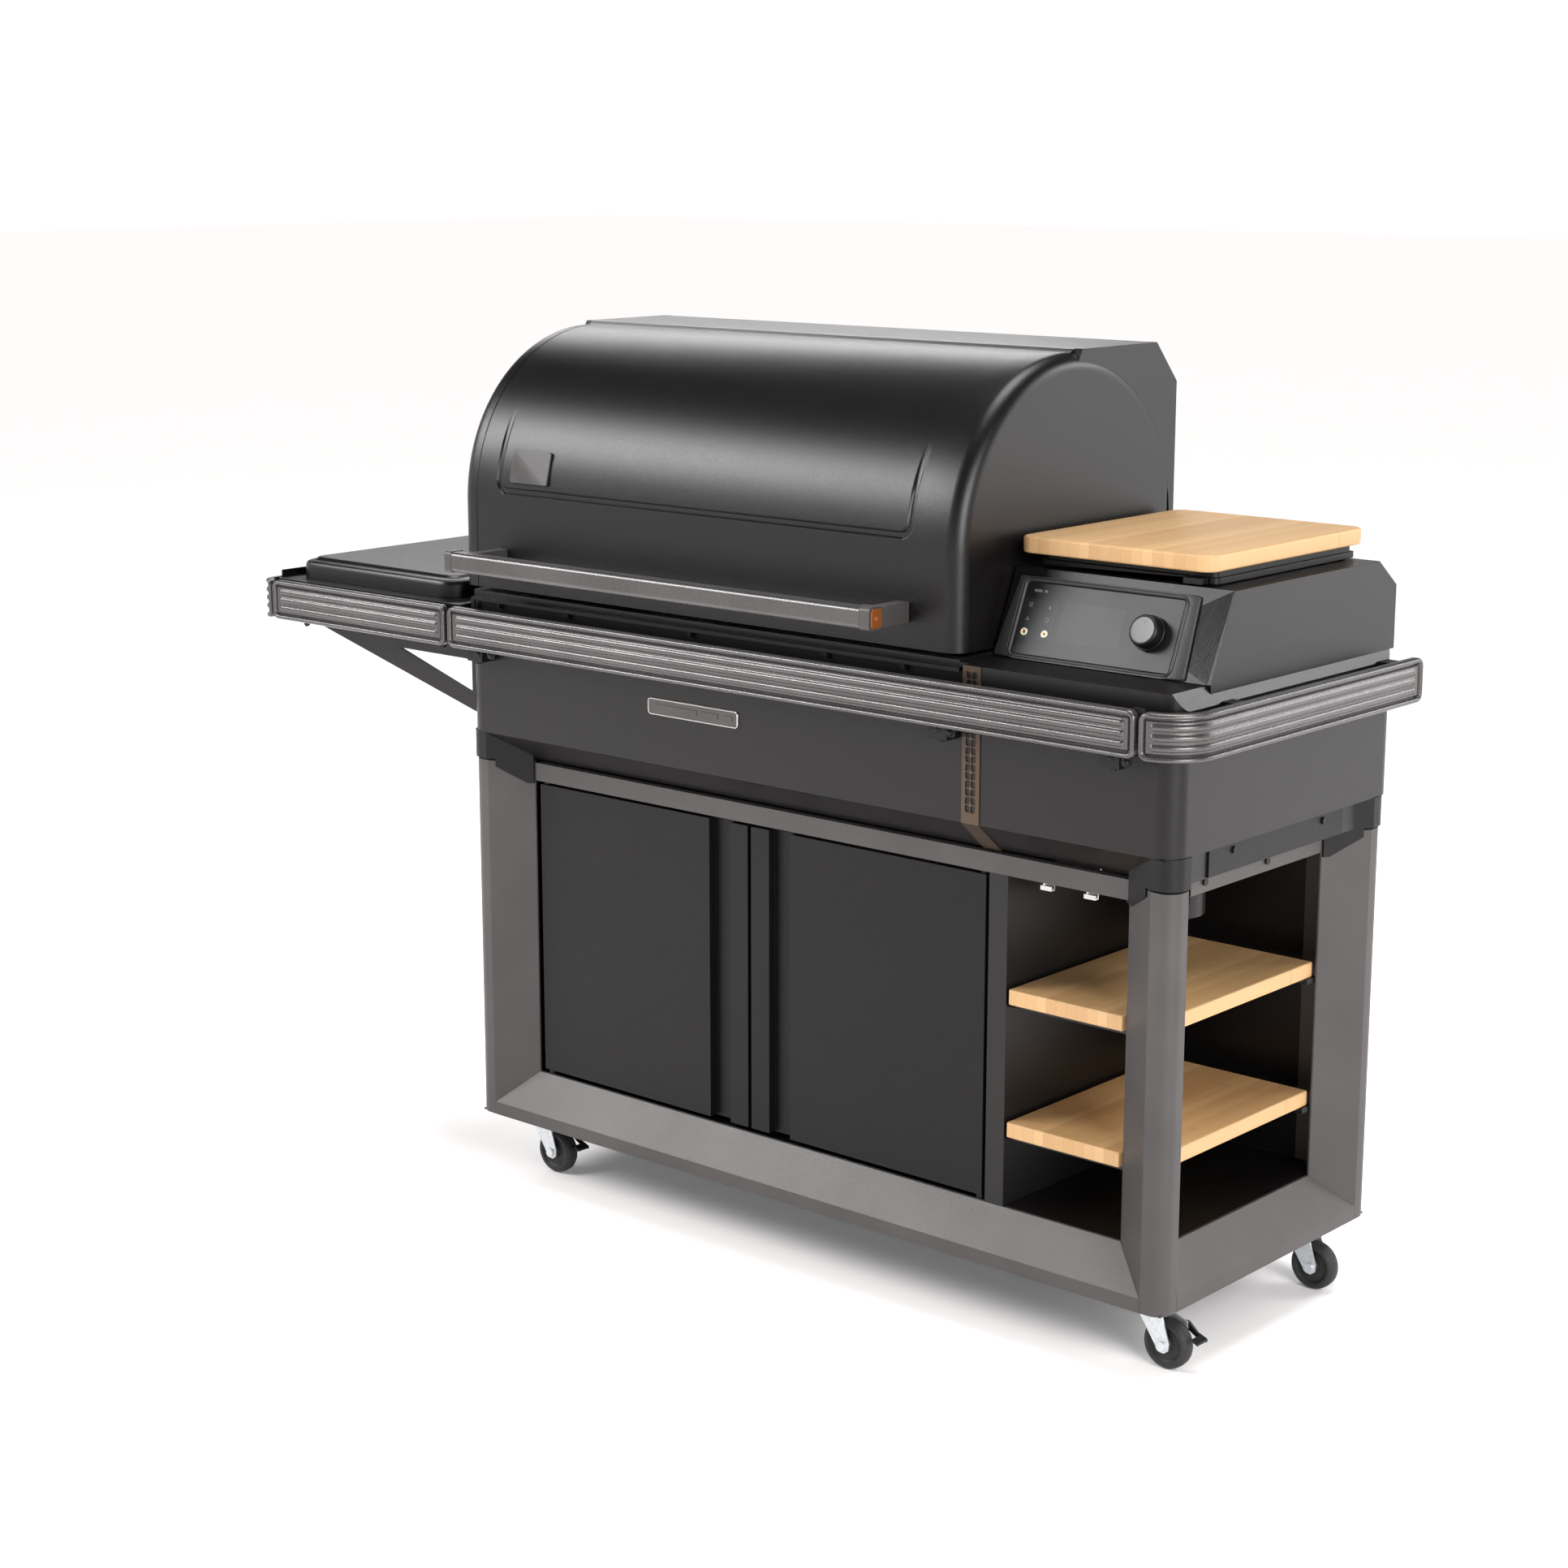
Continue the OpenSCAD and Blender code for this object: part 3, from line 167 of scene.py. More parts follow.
def new_material(name):
    """A material with its Principled shader and texture coordinates in metres."""
    material = bpy.data.materials.new(name)
    material.use_nodes = True
    tree = material.node_tree
    coordinate = tree.nodes.new("ShaderNodeTexCoord")
    return material, tree, tree.nodes["Principled BSDF"], coordinate.outputs["Object"]


def noise(tree, place, scale, detail=2.0, stretch=None):
    """A noise texture with scale in features per metre; stretch squeezes it along the axes."""
    if stretch:
        mapping = tree.nodes.new("ShaderNodeMapping")
        mapping.inputs["Scale"].default_value = stretch
        tree.links.new(place, mapping.inputs["Vector"])
        place = mapping.outputs[0]
    texture = tree.nodes.new("ShaderNodeTexNoise")
    texture.inputs["Scale"].default_value = scale
    texture.inputs["Detail"].default_value = detail
    tree.links.new(place, texture.inputs["Vector"])
    return texture.outputs["Fac"]


def remap(tree, value, low, high):
    """Turns a texture's usual 0.3 to 0.7 into low to high."""
    node = tree.nodes.new("ShaderNodeMapRange")
    node.inputs["From Min"].default_value = 0.3
    node.inputs["From Max"].default_value = 0.7
    node.inputs["To Min"].default_value = low
    node.inputs["To Max"].default_value = high
    tree.links.new(value, node.inputs["Value"])
    return node.outputs[0]


def mix_colour(tree, share, first, second):
    """Blends two colours, each a tuple or a socket, by a socket's value."""
    node = tree.nodes.new("ShaderNodeMix")
    node.data_type = "RGBA"
    tree.links.new(share, node.inputs["Factor"])
    for socket, colour in ((node.inputs["A"], first), (node.inputs["B"], second)):
        if isinstance(colour, tuple):
            socket.default_value = (*colour, 1)
        else:
            tree.links.new(colour, socket)
    return node.outputs["Result"]


def bump(tree, shader, height, strength, distance):
    """Raises a texture's value as relief, distance metres high at full strength."""
    node = tree.nodes.new("ShaderNodeBump")
    node.inputs["Strength"].default_value = strength
    node.inputs["Distance"].default_value = distance
    tree.links.new(height, node.inputs["Height"])
    tree.links.new(node.outputs[0], shader.inputs["Normal"])


def coated(name, colour, roughness, metallic, grain, relief, shine):
    """Powder coat or moulded plastic: a fine pebbled skin with faint drifts of tone and gloss."""
    material, tree, shader, place = new_material(name)
    drift = noise(tree, place, 7.0, 3.0)
    lighter = tuple(min(1.0, c * 1.15) for c in colour)
    darker = tuple(c * 0.90 for c in colour)
    drifting = mix_colour(tree, remap(tree, drift, 0.0, 1.0), darker, lighter)
    tree.links.new(drifting, shader.inputs["Base Color"])
    speck = noise(tree, place, grain * 0.5, 3.0)
    tree.links.new(remap(tree, speck, roughness - 0.05, roughness + 0.05), shader.inputs["Roughness"])
    shader.inputs["Metallic"].default_value = metallic
    shader.inputs["Specular IOR Level"].default_value = shine
    bump(tree, shader, noise(tree, place, grain, 2.0), relief, 0.0004)
    return material


def brushed(name, colour, roughness):
    """Sheet metal with fine lines along X and soft cloudy patches."""
    material, tree, shader, place = new_material(name)
    lines = noise(tree, place, 1.0, 2.0, (40.0, 1400.0, 1400.0))
    clouds = noise(tree, place, 9.0, 4.0)
    dull = tuple(c * 0.85 for c in colour)
    tree.links.new(mix_colour(tree, remap(tree, clouds, 0.0, 1.0), dull, colour), shader.inputs["Base Color"])
    tree.links.new(remap(tree, lines, roughness - 0.08, roughness + 0.08), shader.inputs["Roughness"])
    shader.inputs["Metallic"].default_value = 1.0
    bump(tree, shader, lines, 0.25, 0.0002)
    return material


def zinc(name):
    """Zinc plating: pale grey with small crystalline blotches."""
    material, tree, shader, place = new_material(name)
    cells = tree.nodes.new("ShaderNodeTexVoronoi")
    cells.inputs["Scale"].default_value = 260.0
    tree.links.new(place, cells.inputs["Vector"])
    tree.links.new(mix_colour(tree, cells.outputs["Color"], (0.58, 0.61, 0.64), (0.74, 0.77, 0.79)),
                   shader.inputs["Base Color"])
    tree.links.new(remap(tree, noise(tree, place, 300.0), 0.30, 0.46), shader.inputs["Roughness"])
    shader.inputs["Metallic"].default_value = 0.75
    bump(tree, shader, cells.outputs["Distance"], 0.15, 0.0003)
    return material


def bamboo(name, strip):
    """Strips glued side by side across X, with fibres and the stalk's joints along Y."""
    joint_pitch = 0.31
    material, tree, shader, place = new_material(name)
    axes = tree.nodes.new("ShaderNodeSeparateXYZ")
    tree.links.new(place, axes.inputs[0])

    def arithmetic(operation, first, second):
        node = tree.nodes.new("ShaderNodeMath")
        node.operation = operation
        for socket, value in zip(node.inputs, (first, second)):
            if isinstance(value, (int, float)):
                socket.default_value = value
            elif value is not None:
                tree.links.new(value, socket)
        return node.outputs[0]

    across = arithmetic("DIVIDE", axes.outputs["X"], strip)
    index = arithmetic("FLOOR", across, None)
    tone = tree.nodes.new("ShaderNodeTexWhiteNoise")
    tone.noise_dimensions = "1D"
    tree.links.new(index, tone.inputs["W"])
    base = mix_colour(tree, tone.outputs["Value"], (0.400, 0.225, 0.092), (0.610, 0.390, 0.190))
    fibre = remap(tree, noise(tree, place, 1.0, 3.0, (1500.0, 14.0, 700.0)), 0.0, 1.0)
    fibred = mix_colour(tree, fibre, base, (0.52, 0.315, 0.140))
    # Glue line at the edge of each strip
    inside = arithmetic("FRACT", across, None)
    edge = arithmetic("LESS_THAN", inside, 0.05)
    edge_share = arithmetic("MULTIPLY", edge, 0.35)
    glued = mix_colour(tree, edge_share, fibred, (0.32, 0.165, 0.06))
    # Joints of the stalk: short darker bands, at a different place on each strip
    shift = arithmetic("MULTIPLY", tone.outputs["Value"], joint_pitch)
    along = arithmetic("ADD", axes.outputs["Y"], shift)
    lap = arithmetic("FRACT", arithmetic("DIVIDE", along, joint_pitch), None)
    band = arithmetic("LESS_THAN", lap, 0.014)
    band_share = arithmetic("MULTIPLY", band, 0.30)
    jointed = mix_colour(tree, band_share, glued, (0.34, 0.185, 0.07))
    tree.links.new(jointed, shader.inputs["Base Color"])
    tree.links.new(remap(tree, fibre, 0.42, 0.56), shader.inputs["Roughness"])
    bump(tree, shader, fibre, 0.12, 0.0003)
    return material


def dark_glass(name, colour, roughness):
    """Black glass: smooth, with a hint of handling marks in its gloss."""
    material, tree, shader, place = new_material(name)
    smear = noise(tree, place, 12.0, 3.0)
    lighter = tuple(c * 1.1 for c in colour)
    smeared = mix_colour(tree, remap(tree, smear, 0.0, 1.0), colour, lighter)
    tree.links.new(smeared, shader.inputs["Base Color"])
    tree.links.new(remap(tree, smear, roughness, roughness + 0.03), shader.inputs["Roughness"])
    shader.inputs["Specular IOR Level"].default_value = 0.33
    return material


# Colour, roughness, metallic share, grain, relief and shine of each coated finish
COATS = {
    "charcoal_coat": ((0.0037, 0.0031, 0.0030), 0.33, 0.0, 1000.0, 0.42, 0.34),
    "graphite_coat": ((0.062, 0.058, 0.057), 0.44, 0.30, 1300.0, 0.25, 0.4),
    "rail_coat": ((0.096, 0.092, 0.092), 0.29, 0.70, 1200.0, 0.35, 0.5),
    "black_plastic": ((0.0032, 0.0030, 0.0030), 0.46, 0.0, 800.0, 0.3, 0.28),
    "bronze_coat": ((0.070, 0.046, 0.030), 0.38, 0.55, 1500.0, 0.25, 0.5),
    "copper_cap": ((0.300, 0.095, 0.022), 0.34, 0.6, 1500.0, 0.2, 0.5),
    "black_rubber": ((0.0110, 0.0108, 0.0105), 0.60, 0.0, 500.0, 0.5, 0.5),
    # Finishes of single pieces within a slot
    "panel_coat": ((0.030, 0.029, 0.029), 0.50, 0.0, 700.0, 0.9, 0.5),
    "door_shaded_coat": ((0.0036, 0.0032, 0.0031), 0.40, 0.0, 1000.0, 0.42, 0.22),
    # The doors' coat is the charcoal coat made duller and less shiny: painted shade for the doors' recess
    "badge_coat": ((0.060, 0.058, 0.057), 0.36, 0.35, 1500.0, 0.2, 0.5),
    "faint_mark": ((0.120, 0.125, 0.130), 0.45, 0.0, 1500.0, 0.1, 0.5),
    "knob_face": ((0.062, 0.062, 0.064), 0.34, 0.0, 1500.0, 0.2, 0.5),
    "ivory": ((0.62, 0.58, 0.50), 0.35, 0.0, 1500.0, 0.1, 0.5),
    "brass": ((0.50, 0.30, 0.10), 0.30, 0.8, 1500.0, 0.1, 0.5),
}
MATERIALS = {name: coated(name, *coat) for name, coat in COATS.items()}
MATERIALS["gloss_black"] = dark_glass("gloss_black", (0.0085, 0.0088, 0.0094), 0.36)
MATERIALS["display"] = dark_glass("display", (0.0165, 0.0170, 0.0180), 0.36)
MATERIALS["bamboo"] = bamboo("bamboo", 0.0165)
MATERIALS["zinc_plate"] = zinc("zinc_plate")
MATERIALS["stainless"] = brushed("stainless", (0.52, 0.51, 0.49), 0.30)


# ---------- mesh helpers ----------

def guard_flats(shape, least=0.001, margin=0.0005):
    """Sets a thin border inside each large flat face, so that rounding beside it doesn't tilt its shading."""
    flats = [face for face in shape.faces if len(face.verts) > 4 and face.calc_area() > least]
    bmesh.ops.inset_individual(shape, faces=flats, thickness=margin, use_even_offset=True)


def add_shape(name, shape, slot, body, replaced=(), sharp=35.0, material=None):
    """Makes a piece of a bmesh that rides on a body, with smooth shading up to the sharp angle.
    material names a finish, where it isn't the slot's own."""
    guard_flats(shape)
    mesh = bpy.data.meshes.new(name)
    shape.to_mesh(mesh)
    shape.free()
    mesh.shade_smooth()
    mesh.set_sharp_from_angle(angle=math.radians(sharp))
    mesh.materials.append(MATERIALS[material or slot])
    piece = bpy.data.objects.new(name, mesh)
    bpy.context.scene.collection.objects.link(piece)
    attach(piece, body)
    if replaced:
        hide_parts(*replaced)
    return piece


def strip_faces(rows, columns, start=0):
    """Quads over a grid of vertices stored row by row."""
    faces = []
    for i in range(rows - 1):
        for j in range(columns - 1):
            near, far = start + i * columns + j, start + (i + 1) * columns + j
            faces.append((near, near + 1, far + 1, far))
    return faces


def is_edge(edge, angle):
    """Whether two faces meet at the edge at more than angle degrees."""
    return len(edge.link_faces) == 2 and edge.calc_face_angle(0) > math.radians(angle)


def soften(node, width, wide=()):
    """A CAD node with its sharp edges rounded, as those of folded sheet and cast metal are.
    wide lists (test, width, segments) for edges with a larger radius of their own."""
    shape = bmesh.new()
    shape.from_mesh(frame["nodes"][node].data)
    bmesh.ops.remove_doubles(shape, verts=shape.verts, dist=1e-5)
    bmesh.ops.dissolve_limit(shape, angle_limit=math.radians(0.6), verts=shape.verts, edges=shape.edges)
    for test, wide_width, wide_segments in wide:
        picked = [e for e in shape.edges if is_edge(e, 20.0) and test(e.verts[0].co, e.verts[1].co)]
        bmesh.ops.bevel(shape, geom=picked, offset=wide_width, segments=wide_segments, profile=0.5,
                        affect="EDGES", clamp_overlap=True)
    edges = [e for e in shape.edges if is_edge(e, 30.0)]
    bmesh.ops.bevel(shape, geom=edges, offset=width, segments=2, profile=0.5, affect="EDGES",
                    clamp_overlap=True, loop_slide=True)
    # The doors get the darker coat, which paints the shade that falls in their recess
    material = "door_shaded_coat" if node in ("door_left", "door_right") else None
    piece = add_shape(node + "_skin", shape, SLOT_OF[node], BODY_OF[node], (node,), 40.0, material)
    weigh = piece.modifiers.new("corner_shading", "WEIGHTED_NORMAL")
    weigh.keep_sharp = True
    weigh.weight = 100


def loft(shape, loops, ring=False):
    """Joins loops of equal length; the first and last are capped, or joined to each other for a ring."""
    made = [[shape.verts.new(point) for point in loop] for loop in loops]
    count = len(loops[0])
    for k in range(len(made) if ring else len(made) - 1):
        near, far = made[k], made[(k + 1) % len(made)]
        for i in range(count):
            j = (i + 1) % count
            shape.faces.new((near[i], near[j], far[j], far[i]))
    if not ring:
        shape.faces.new(list(reversed(made[0])))
        shape.faces.new(made[-1])


def rounded_polygon(corners, radius, inset=0.0, steps=5):
    """A convex anticlockwise polygon, moved in by inset, with its corners rounded."""
    count = len(corners)
    lines = []
    for i in range(count):
        start, end = Vector(corners[i]), Vector(corners[(i + 1) % count])
        along = (end - start).normalized()
        inward = Vector((-along.y, along.x))
        lines.append((start + inward * inset, along))
    moved = []
    for i in range(count):
        (p, d), (q, e) = lines[i - 1], lines[i]
        cross = d.x * e.y - d.y * e.x
        share = ((q.x - p.x) * e.y - (q.y - p.y) * e.x) / cross
        moved.append(p + d * share)
    points = []
    bend = max(0.0002, radius - inset)
    for i in range(count):
        before, at, after = moved[i - 1], moved[i], moved[(i + 1) % count]
        back, on = (before - at).normalized(), (after - at).normalized()
        half = math.acos(max(-1.0, min(1.0, back.dot(on)))) / 2
        centre = at + (back + on).normalized() * (bend / math.sin(half))
        first = at + back * (bend / math.tan(half)) - centre
        last = at + on * (bend / math.tan(half)) - centre
        turn = first.angle_signed(last)
        for k in range(steps + 1):
            angle = -turn * k / steps
            points.append((centre.x + first.x * math.cos(angle) - first.y * math.sin(angle),
                           centre.y + first.x * math.sin(angle) + first.y * math.cos(angle)))
    return points


def rectangle(low, high):
    """Corners of a rectangle, anticlockwise from its lowest."""
    return ((low[0], low[1]), (high[0], low[1]), (high[0], high[1]), (low[0], high[1]))


def plate(shape, corners, radius, profile, place, steps=5):
    """A plate with rounded corners: profile lists (inset, height), place makes a point of (a, b, height)."""
    loft(shape, [[place(a, b, height) for a, b in rounded_polygon(corners, radius, inset, steps)]
                 for inset, height in profile])


def lathe(shape, profile, centre, axis, sides=48, ring=True):
    """Turns a profile of (radius, distance along the axis) round it. A ring is open through its middle."""
    axis = Vector(axis).normalized()
    side = axis.orthogonal().normalized()
    up = axis.cross(side)
    loops = []
    for radius, along in profile:
        loops.append([Vector(centre) + axis * along
                      + radius * (side * math.cos(t) + up * math.sin(t))
                      for t in (2 * math.pi * i / sides for i in range(sides))])
    loft(shape, loops, ring)


def finish(name, shape, slot, body, replaced=(), sharp=35.0, material=None):
    """Welds a bmesh, turns its faces outward and makes a piece of it."""
    bmesh.ops.remove_doubles(shape, verts=shape.verts, dist=1e-6)
    bmesh.ops.recalc_face_normals(shape, faces=shape.faces)
    return add_shape(name, shape, slot, body, replaced, sharp, material)


def smoothstep(low, high, value):
    """Rises gently from 0 at low to 1 at high."""
    share = min(1.0, max(0.0, (value - low) / (high - low)))
    return share * share * (3 - 2 * share)


def stations(low, high, coarse, dense=()):
    """Sorted places from low to high: coarse steps, with fine ones within each (start, end, step) band."""
    steps = max(1, round((high - low) / coarse))
    places = [low + (high - low) * i / steps for i in range(steps + 1)]
    for start, end, step in dense:
        places = [p for p in places if not start - step / 2 < p < end + step / 2]
        count = max(1, round((end - start) / step))
        places += [start + (end - start) * i / count for i in range(count + 1)]
    places += [low, high]
    kept = []
    for place in sorted(p for p in places if low <= p <= high):
        if not kept or place - kept[-1] > 1e-7:
            kept.append(place)
    return kept


# ---------- lid ----------

LID_ARC_Z = 1.061
LID_RADIUS = 0.2535
LID_WALL = 0.004
LID_FILLET = 0.024
# The channel pressed into the lid's front: its two sides, its foot, and the round of its corners
CHANNEL_X = (-0.3786, 0.4105)
CHANNEL_Z = 1.084
CHANNEL_CORNER = 0.016
# A folded seam, this far in from the lid's left end
SEAM_IN = 0.035


def lid_section(inset, drop):
    """Outline of the barrel seen from the end, from the front's foot over the top to the rear's foot.
    Each point carries its distance along the outline, so that pressed lines can follow it."""
    low, high = box_of("lid_shell")
    centre_y = low.y + LID_RADIUS
    radius = LID_RADIUS - inset
    rear = high.y - 0.004
    points = []
    for z in stations(low.z + drop, LID_ARC_Z, 0.02):
        points.append((centre_y - radius, z, z - LID_ARC_Z))
    groove = CHANNEL_Z - LID_ARC_Z
    for s in stations(0.0, math.pi * LID_RADIUS, 0.009, ((groove - 0.016, groove + 0.014, 0.0013),))[1:]:
        turn = math.pi - s / LID_RADIUS
        points.append((min(rear - inset, centre_y + radius * math.cos(turn)),
                       LID_ARC_Z + radius * math.sin(turn), s))
    foot_y = points[-1][0]
    for z in stations(low.z + drop, LID_ARC_Z, 0.04)[-2::-1]:
        points.append((foot_y, z, 2.0))
    return points


def pressed_depth(x, s):
    """Depth of the U-shaped channel pressed into the lid's front, and of the seam near its left end."""
    depth = 0.0
    if s < 0.45:
        middle = (CHANNEL_X[0] + CHANNEL_X[1]) / 2
        half = (CHANNEL_X[1] - CHANNEL_X[0]) / 2
        corner = CHANNEL_CORNER
        bottom = CHANNEL_Z - LID_ARC_Z
        # Distance to the U: an open-topped rectangle with rounded lower corners
        ax, ay = abs(x - middle) - (half - corner), (bottom + corner) - s
        if ax > 0 and ay > 0:
            gap = abs(math.hypot(ax, ay) - corner)
        elif ay > 0 and ax <= 0:
            gap = abs(ay - corner)
        else:
            gap = abs(ax - corner)
            if abs(x - middle) < half - corner and s - bottom < gap:
                gap = abs(s - bottom)
        fade = 1 - smoothstep(0.035, 0.16, s)
        depth += 0.0042 * fade * (1 - smoothstep(0.0026, 0.0058, gap))
    seam = abs(x - (box_of("lid_shell")[0].x + SEAM_IN))
    depth += 0.0012 * (1 - smoothstep(0.0004, 0.0011, seam)) if s < 1.9 else 0.0
    return depth


def barrel_surface(inset, seam):
    """Vertices of the barrel, row by row from its left end to its right, the rows, and each row's length."""
    low, high = box_of("lid_shell")
    x_low, x_high = low.x + inset, high.x - inset
    fillet = LID_FILLET - inset
    turns = [math.radians(90 * i / 8) for i in range(9)]
    bands = ()
    if seam:
        seam_x = low.x + SEAM_IN
        bands = ((CHANNEL_X[0] - 0.012, CHANNEL_X[0] + 0.020, 0.0013),
                 (CHANNEL_X[1] - 0.020, CHANNEL_X[1] + 0.012, 0.0013),
                 (seam_x - 0.002, seam_x + 0.002, 0.0005))
    middle = stations(x_low + fillet, x_high - fillet, 0.04, bands)
    bend = [(fillet * (1 - math.cos(t)), inset + fillet * (1 - math.sin(t))) for t in turns]
    rows = [(x_low + along, depth) for along, depth in bend]
    rows += [(x, inset) for x in middle[1:-1]]
    rows += [(x_high - along, depth) for along, depth in reversed(bend)]
    vertices = []
    for x, depth in rows:
        for y, z, s in lid_section(depth, 0.0):
            pressed = pressed_depth(x, s) if seam and depth <= inset + 1e-6 else 0.0
            if pressed:
                centre_y = low.y + LID_RADIUS
                out = Vector((0, y - centre_y, max(0.0, z - LID_ARC_Z))).normalized()
                y, z = y - out.y * pressed, z - out.z * pressed
            vertices.append((x, y, z))
    return vertices, len(rows), len(vertices) // len(rows)


def make_lid():
    """The barrel, rounded at both ends and hollow below."""
    outer, rows, columns = barrel_surface(0.0, True)
    inner, inner_rows, inner_columns = barrel_surface(LID_WALL, False)
    faces = strip_faces(rows, columns)
    shift = len(outer)
    faces += [tuple(reversed(f)) for f in strip_faces(inner_rows, inner_columns, start=shift)]
    # Flat ends
    faces.append(tuple(range(columns)))
    faces.append(tuple(reversed(range((rows - 1) * columns, rows * columns))))
    faces.append(tuple(shift + i for i in reversed(range(inner_columns))))
    faces.append(tuple(shift + (inner_rows - 1) * inner_columns + i for i in range(inner_columns)))
    shape = bmesh.new()
    made = [shape.verts.new(v) for v in outer + inner]
    for face in faces:
        shape.faces.new([made[i] for i in face])
    # Hem that joins the two skins round the open foot
    bmesh.ops.remove_doubles(shape, verts=shape.verts, dist=1e-6)
    rims = [e for e in shape.edges if len(e.link_faces) == 1]
    bmesh.ops.bridge_loops(shape, edges=rims)
    bmesh.ops.recalc_face_normals(shape, faces=shape.faces)
    add_shape("lid_barrel", shape, "charcoal_coat", "lid", ("lid_shell",), 32.0)


def make_lid_box():
    """The squarer housing behind the barrel, a little narrower than it."""
    low, high = box_of("lid_shell")
    centre_y = low.y + LID_RADIUS
    flat = (centre_y + 0.018, centre_y + 0.1955)
    slope_foot = high.z - 0.057
    rear = high.y - 0.0035

    def outline(tuck):
        """The end view, with its lower edge tuck metres inside the barrel's curve."""
        radius = LID_RADIUS - tuck
        points = [(flat[0], high.z), (flat[1], high.z), (high.y, slope_foot), (high.y, low.z),
                  (rear, low.z), (rear, LID_ARC_Z - 0.075)]
        for step in range(13):
            turn = math.radians(-17 + 107 * step / 12)
            points.append((min(rear, centre_y + radius * math.cos(turn)),
                           LID_ARC_Z + radius * math.sin(turn)))
        return points + [(flat[0] - 0.012, LID_ARC_Z + radius)]

    # Each end's lip tucks deeper under the barrel than the middle does
    side, lip, step_in = 0.003, 0.012, 0.002
    ends = (low.x + side, high.x - side)
    deep, shallow = outline(0.016), outline(0.002)
    shape = bmesh.new()
    loft(shape, [[(x, y, z) for y, z in view] for x, view in (
        (ends[0], deep), (ends[0] + lip, deep), (ends[0] + lip + step_in, shallow),
        (ends[1] - lip - step_in, shallow), (ends[1] - lip, deep), (ends[1], deep))])
    bmesh.ops.remove_doubles(shape, verts=shape.verts, dist=1e-6)
    bmesh.ops.recalc_face_normals(shape, faces=shape.faces)

    def is_top_edge(edge):
        """Whether an edge lies on the top or its slope, and runs along the box or round one of its ends."""
        first, second = (vert.co for vert in edge.verts)
        is_along = abs(first.x - second.x) > 0.1
        return (min(first.z, second.z) > high.z - 0.06 and min(first.y, second.y) > flat[0] - 0.001
                and (is_along or first.x in ends))

    edges = [e for e in shape.edges if e.calc_face_angle(0) > math.radians(25) and is_top_edge(e)]
    bmesh.ops.bevel(shape, geom=edges, offset=0.003, segments=3, profile=0.5, affect="EDGES",
                    clamp_overlap=True)
    add_shape("lid_rear_box", shape, "charcoal_coat", "lid", (), 32.0)


# ---------- corrugated rails ----------

RAIL_THICKNESS = 0.012
RAIL_CORNER = 0.0125
RAIL_BEAD = 0.0072
RAIL_GROOVE = 0.0022
# Depths of the border's foot and of the groove beside it, below the rail's highest line
BEAD_DROP = 0.0036
GROOVE_DROP = 0.0062
RIB_PITCH = 0.0130
RIB_HALF = 0.0042
RIB_HEIGHT = 0.0030


def rail_relief(u, v, length, height, corner):
    """Depth of a rail's face below its highest line: a rolled border, a groove, a plate and three ribs."""
    ax = abs(u - length / 2) - (length / 2 - corner)
    ay = abs(v - height / 2) - (height / 2 - corner)
    inside = corner - (math.hypot(max(ax, 0), max(ay, 0)) + min(max(ax, ay), 0))
    if inside < RAIL_BEAD:
        share = (inside - RAIL_BEAD / 2) / (RAIL_BEAD / 2)
        return BEAD_DROP * (1 - math.sqrt(max(0.0, 1 - min(1.0, share * share))))
    if inside < RAIL_BEAD + RAIL_GROOVE:
        return GROOVE_DROP
    level = GROOVE_DROP - RIB_HEIGHT * smoothstep(0.0, 0.0012, inside - RAIL_BEAD - RAIL_GROOVE)
    start = RAIL_BEAD + RAIL_GROOVE + 0.0075
    for rib in (-1, 0, 1):
        middle = height / 2 + rib * RIB_PITCH
        nearest = min(max(u, start + RIB_HALF), length - start - RIB_HALF)
        gap = math.hypot(u - nearest, v - middle)
        if gap < RIB_HALF:
            level -= RIB_HEIGHT * math.sqrt(1 - (gap / RIB_HALF) ** 2)
    return level


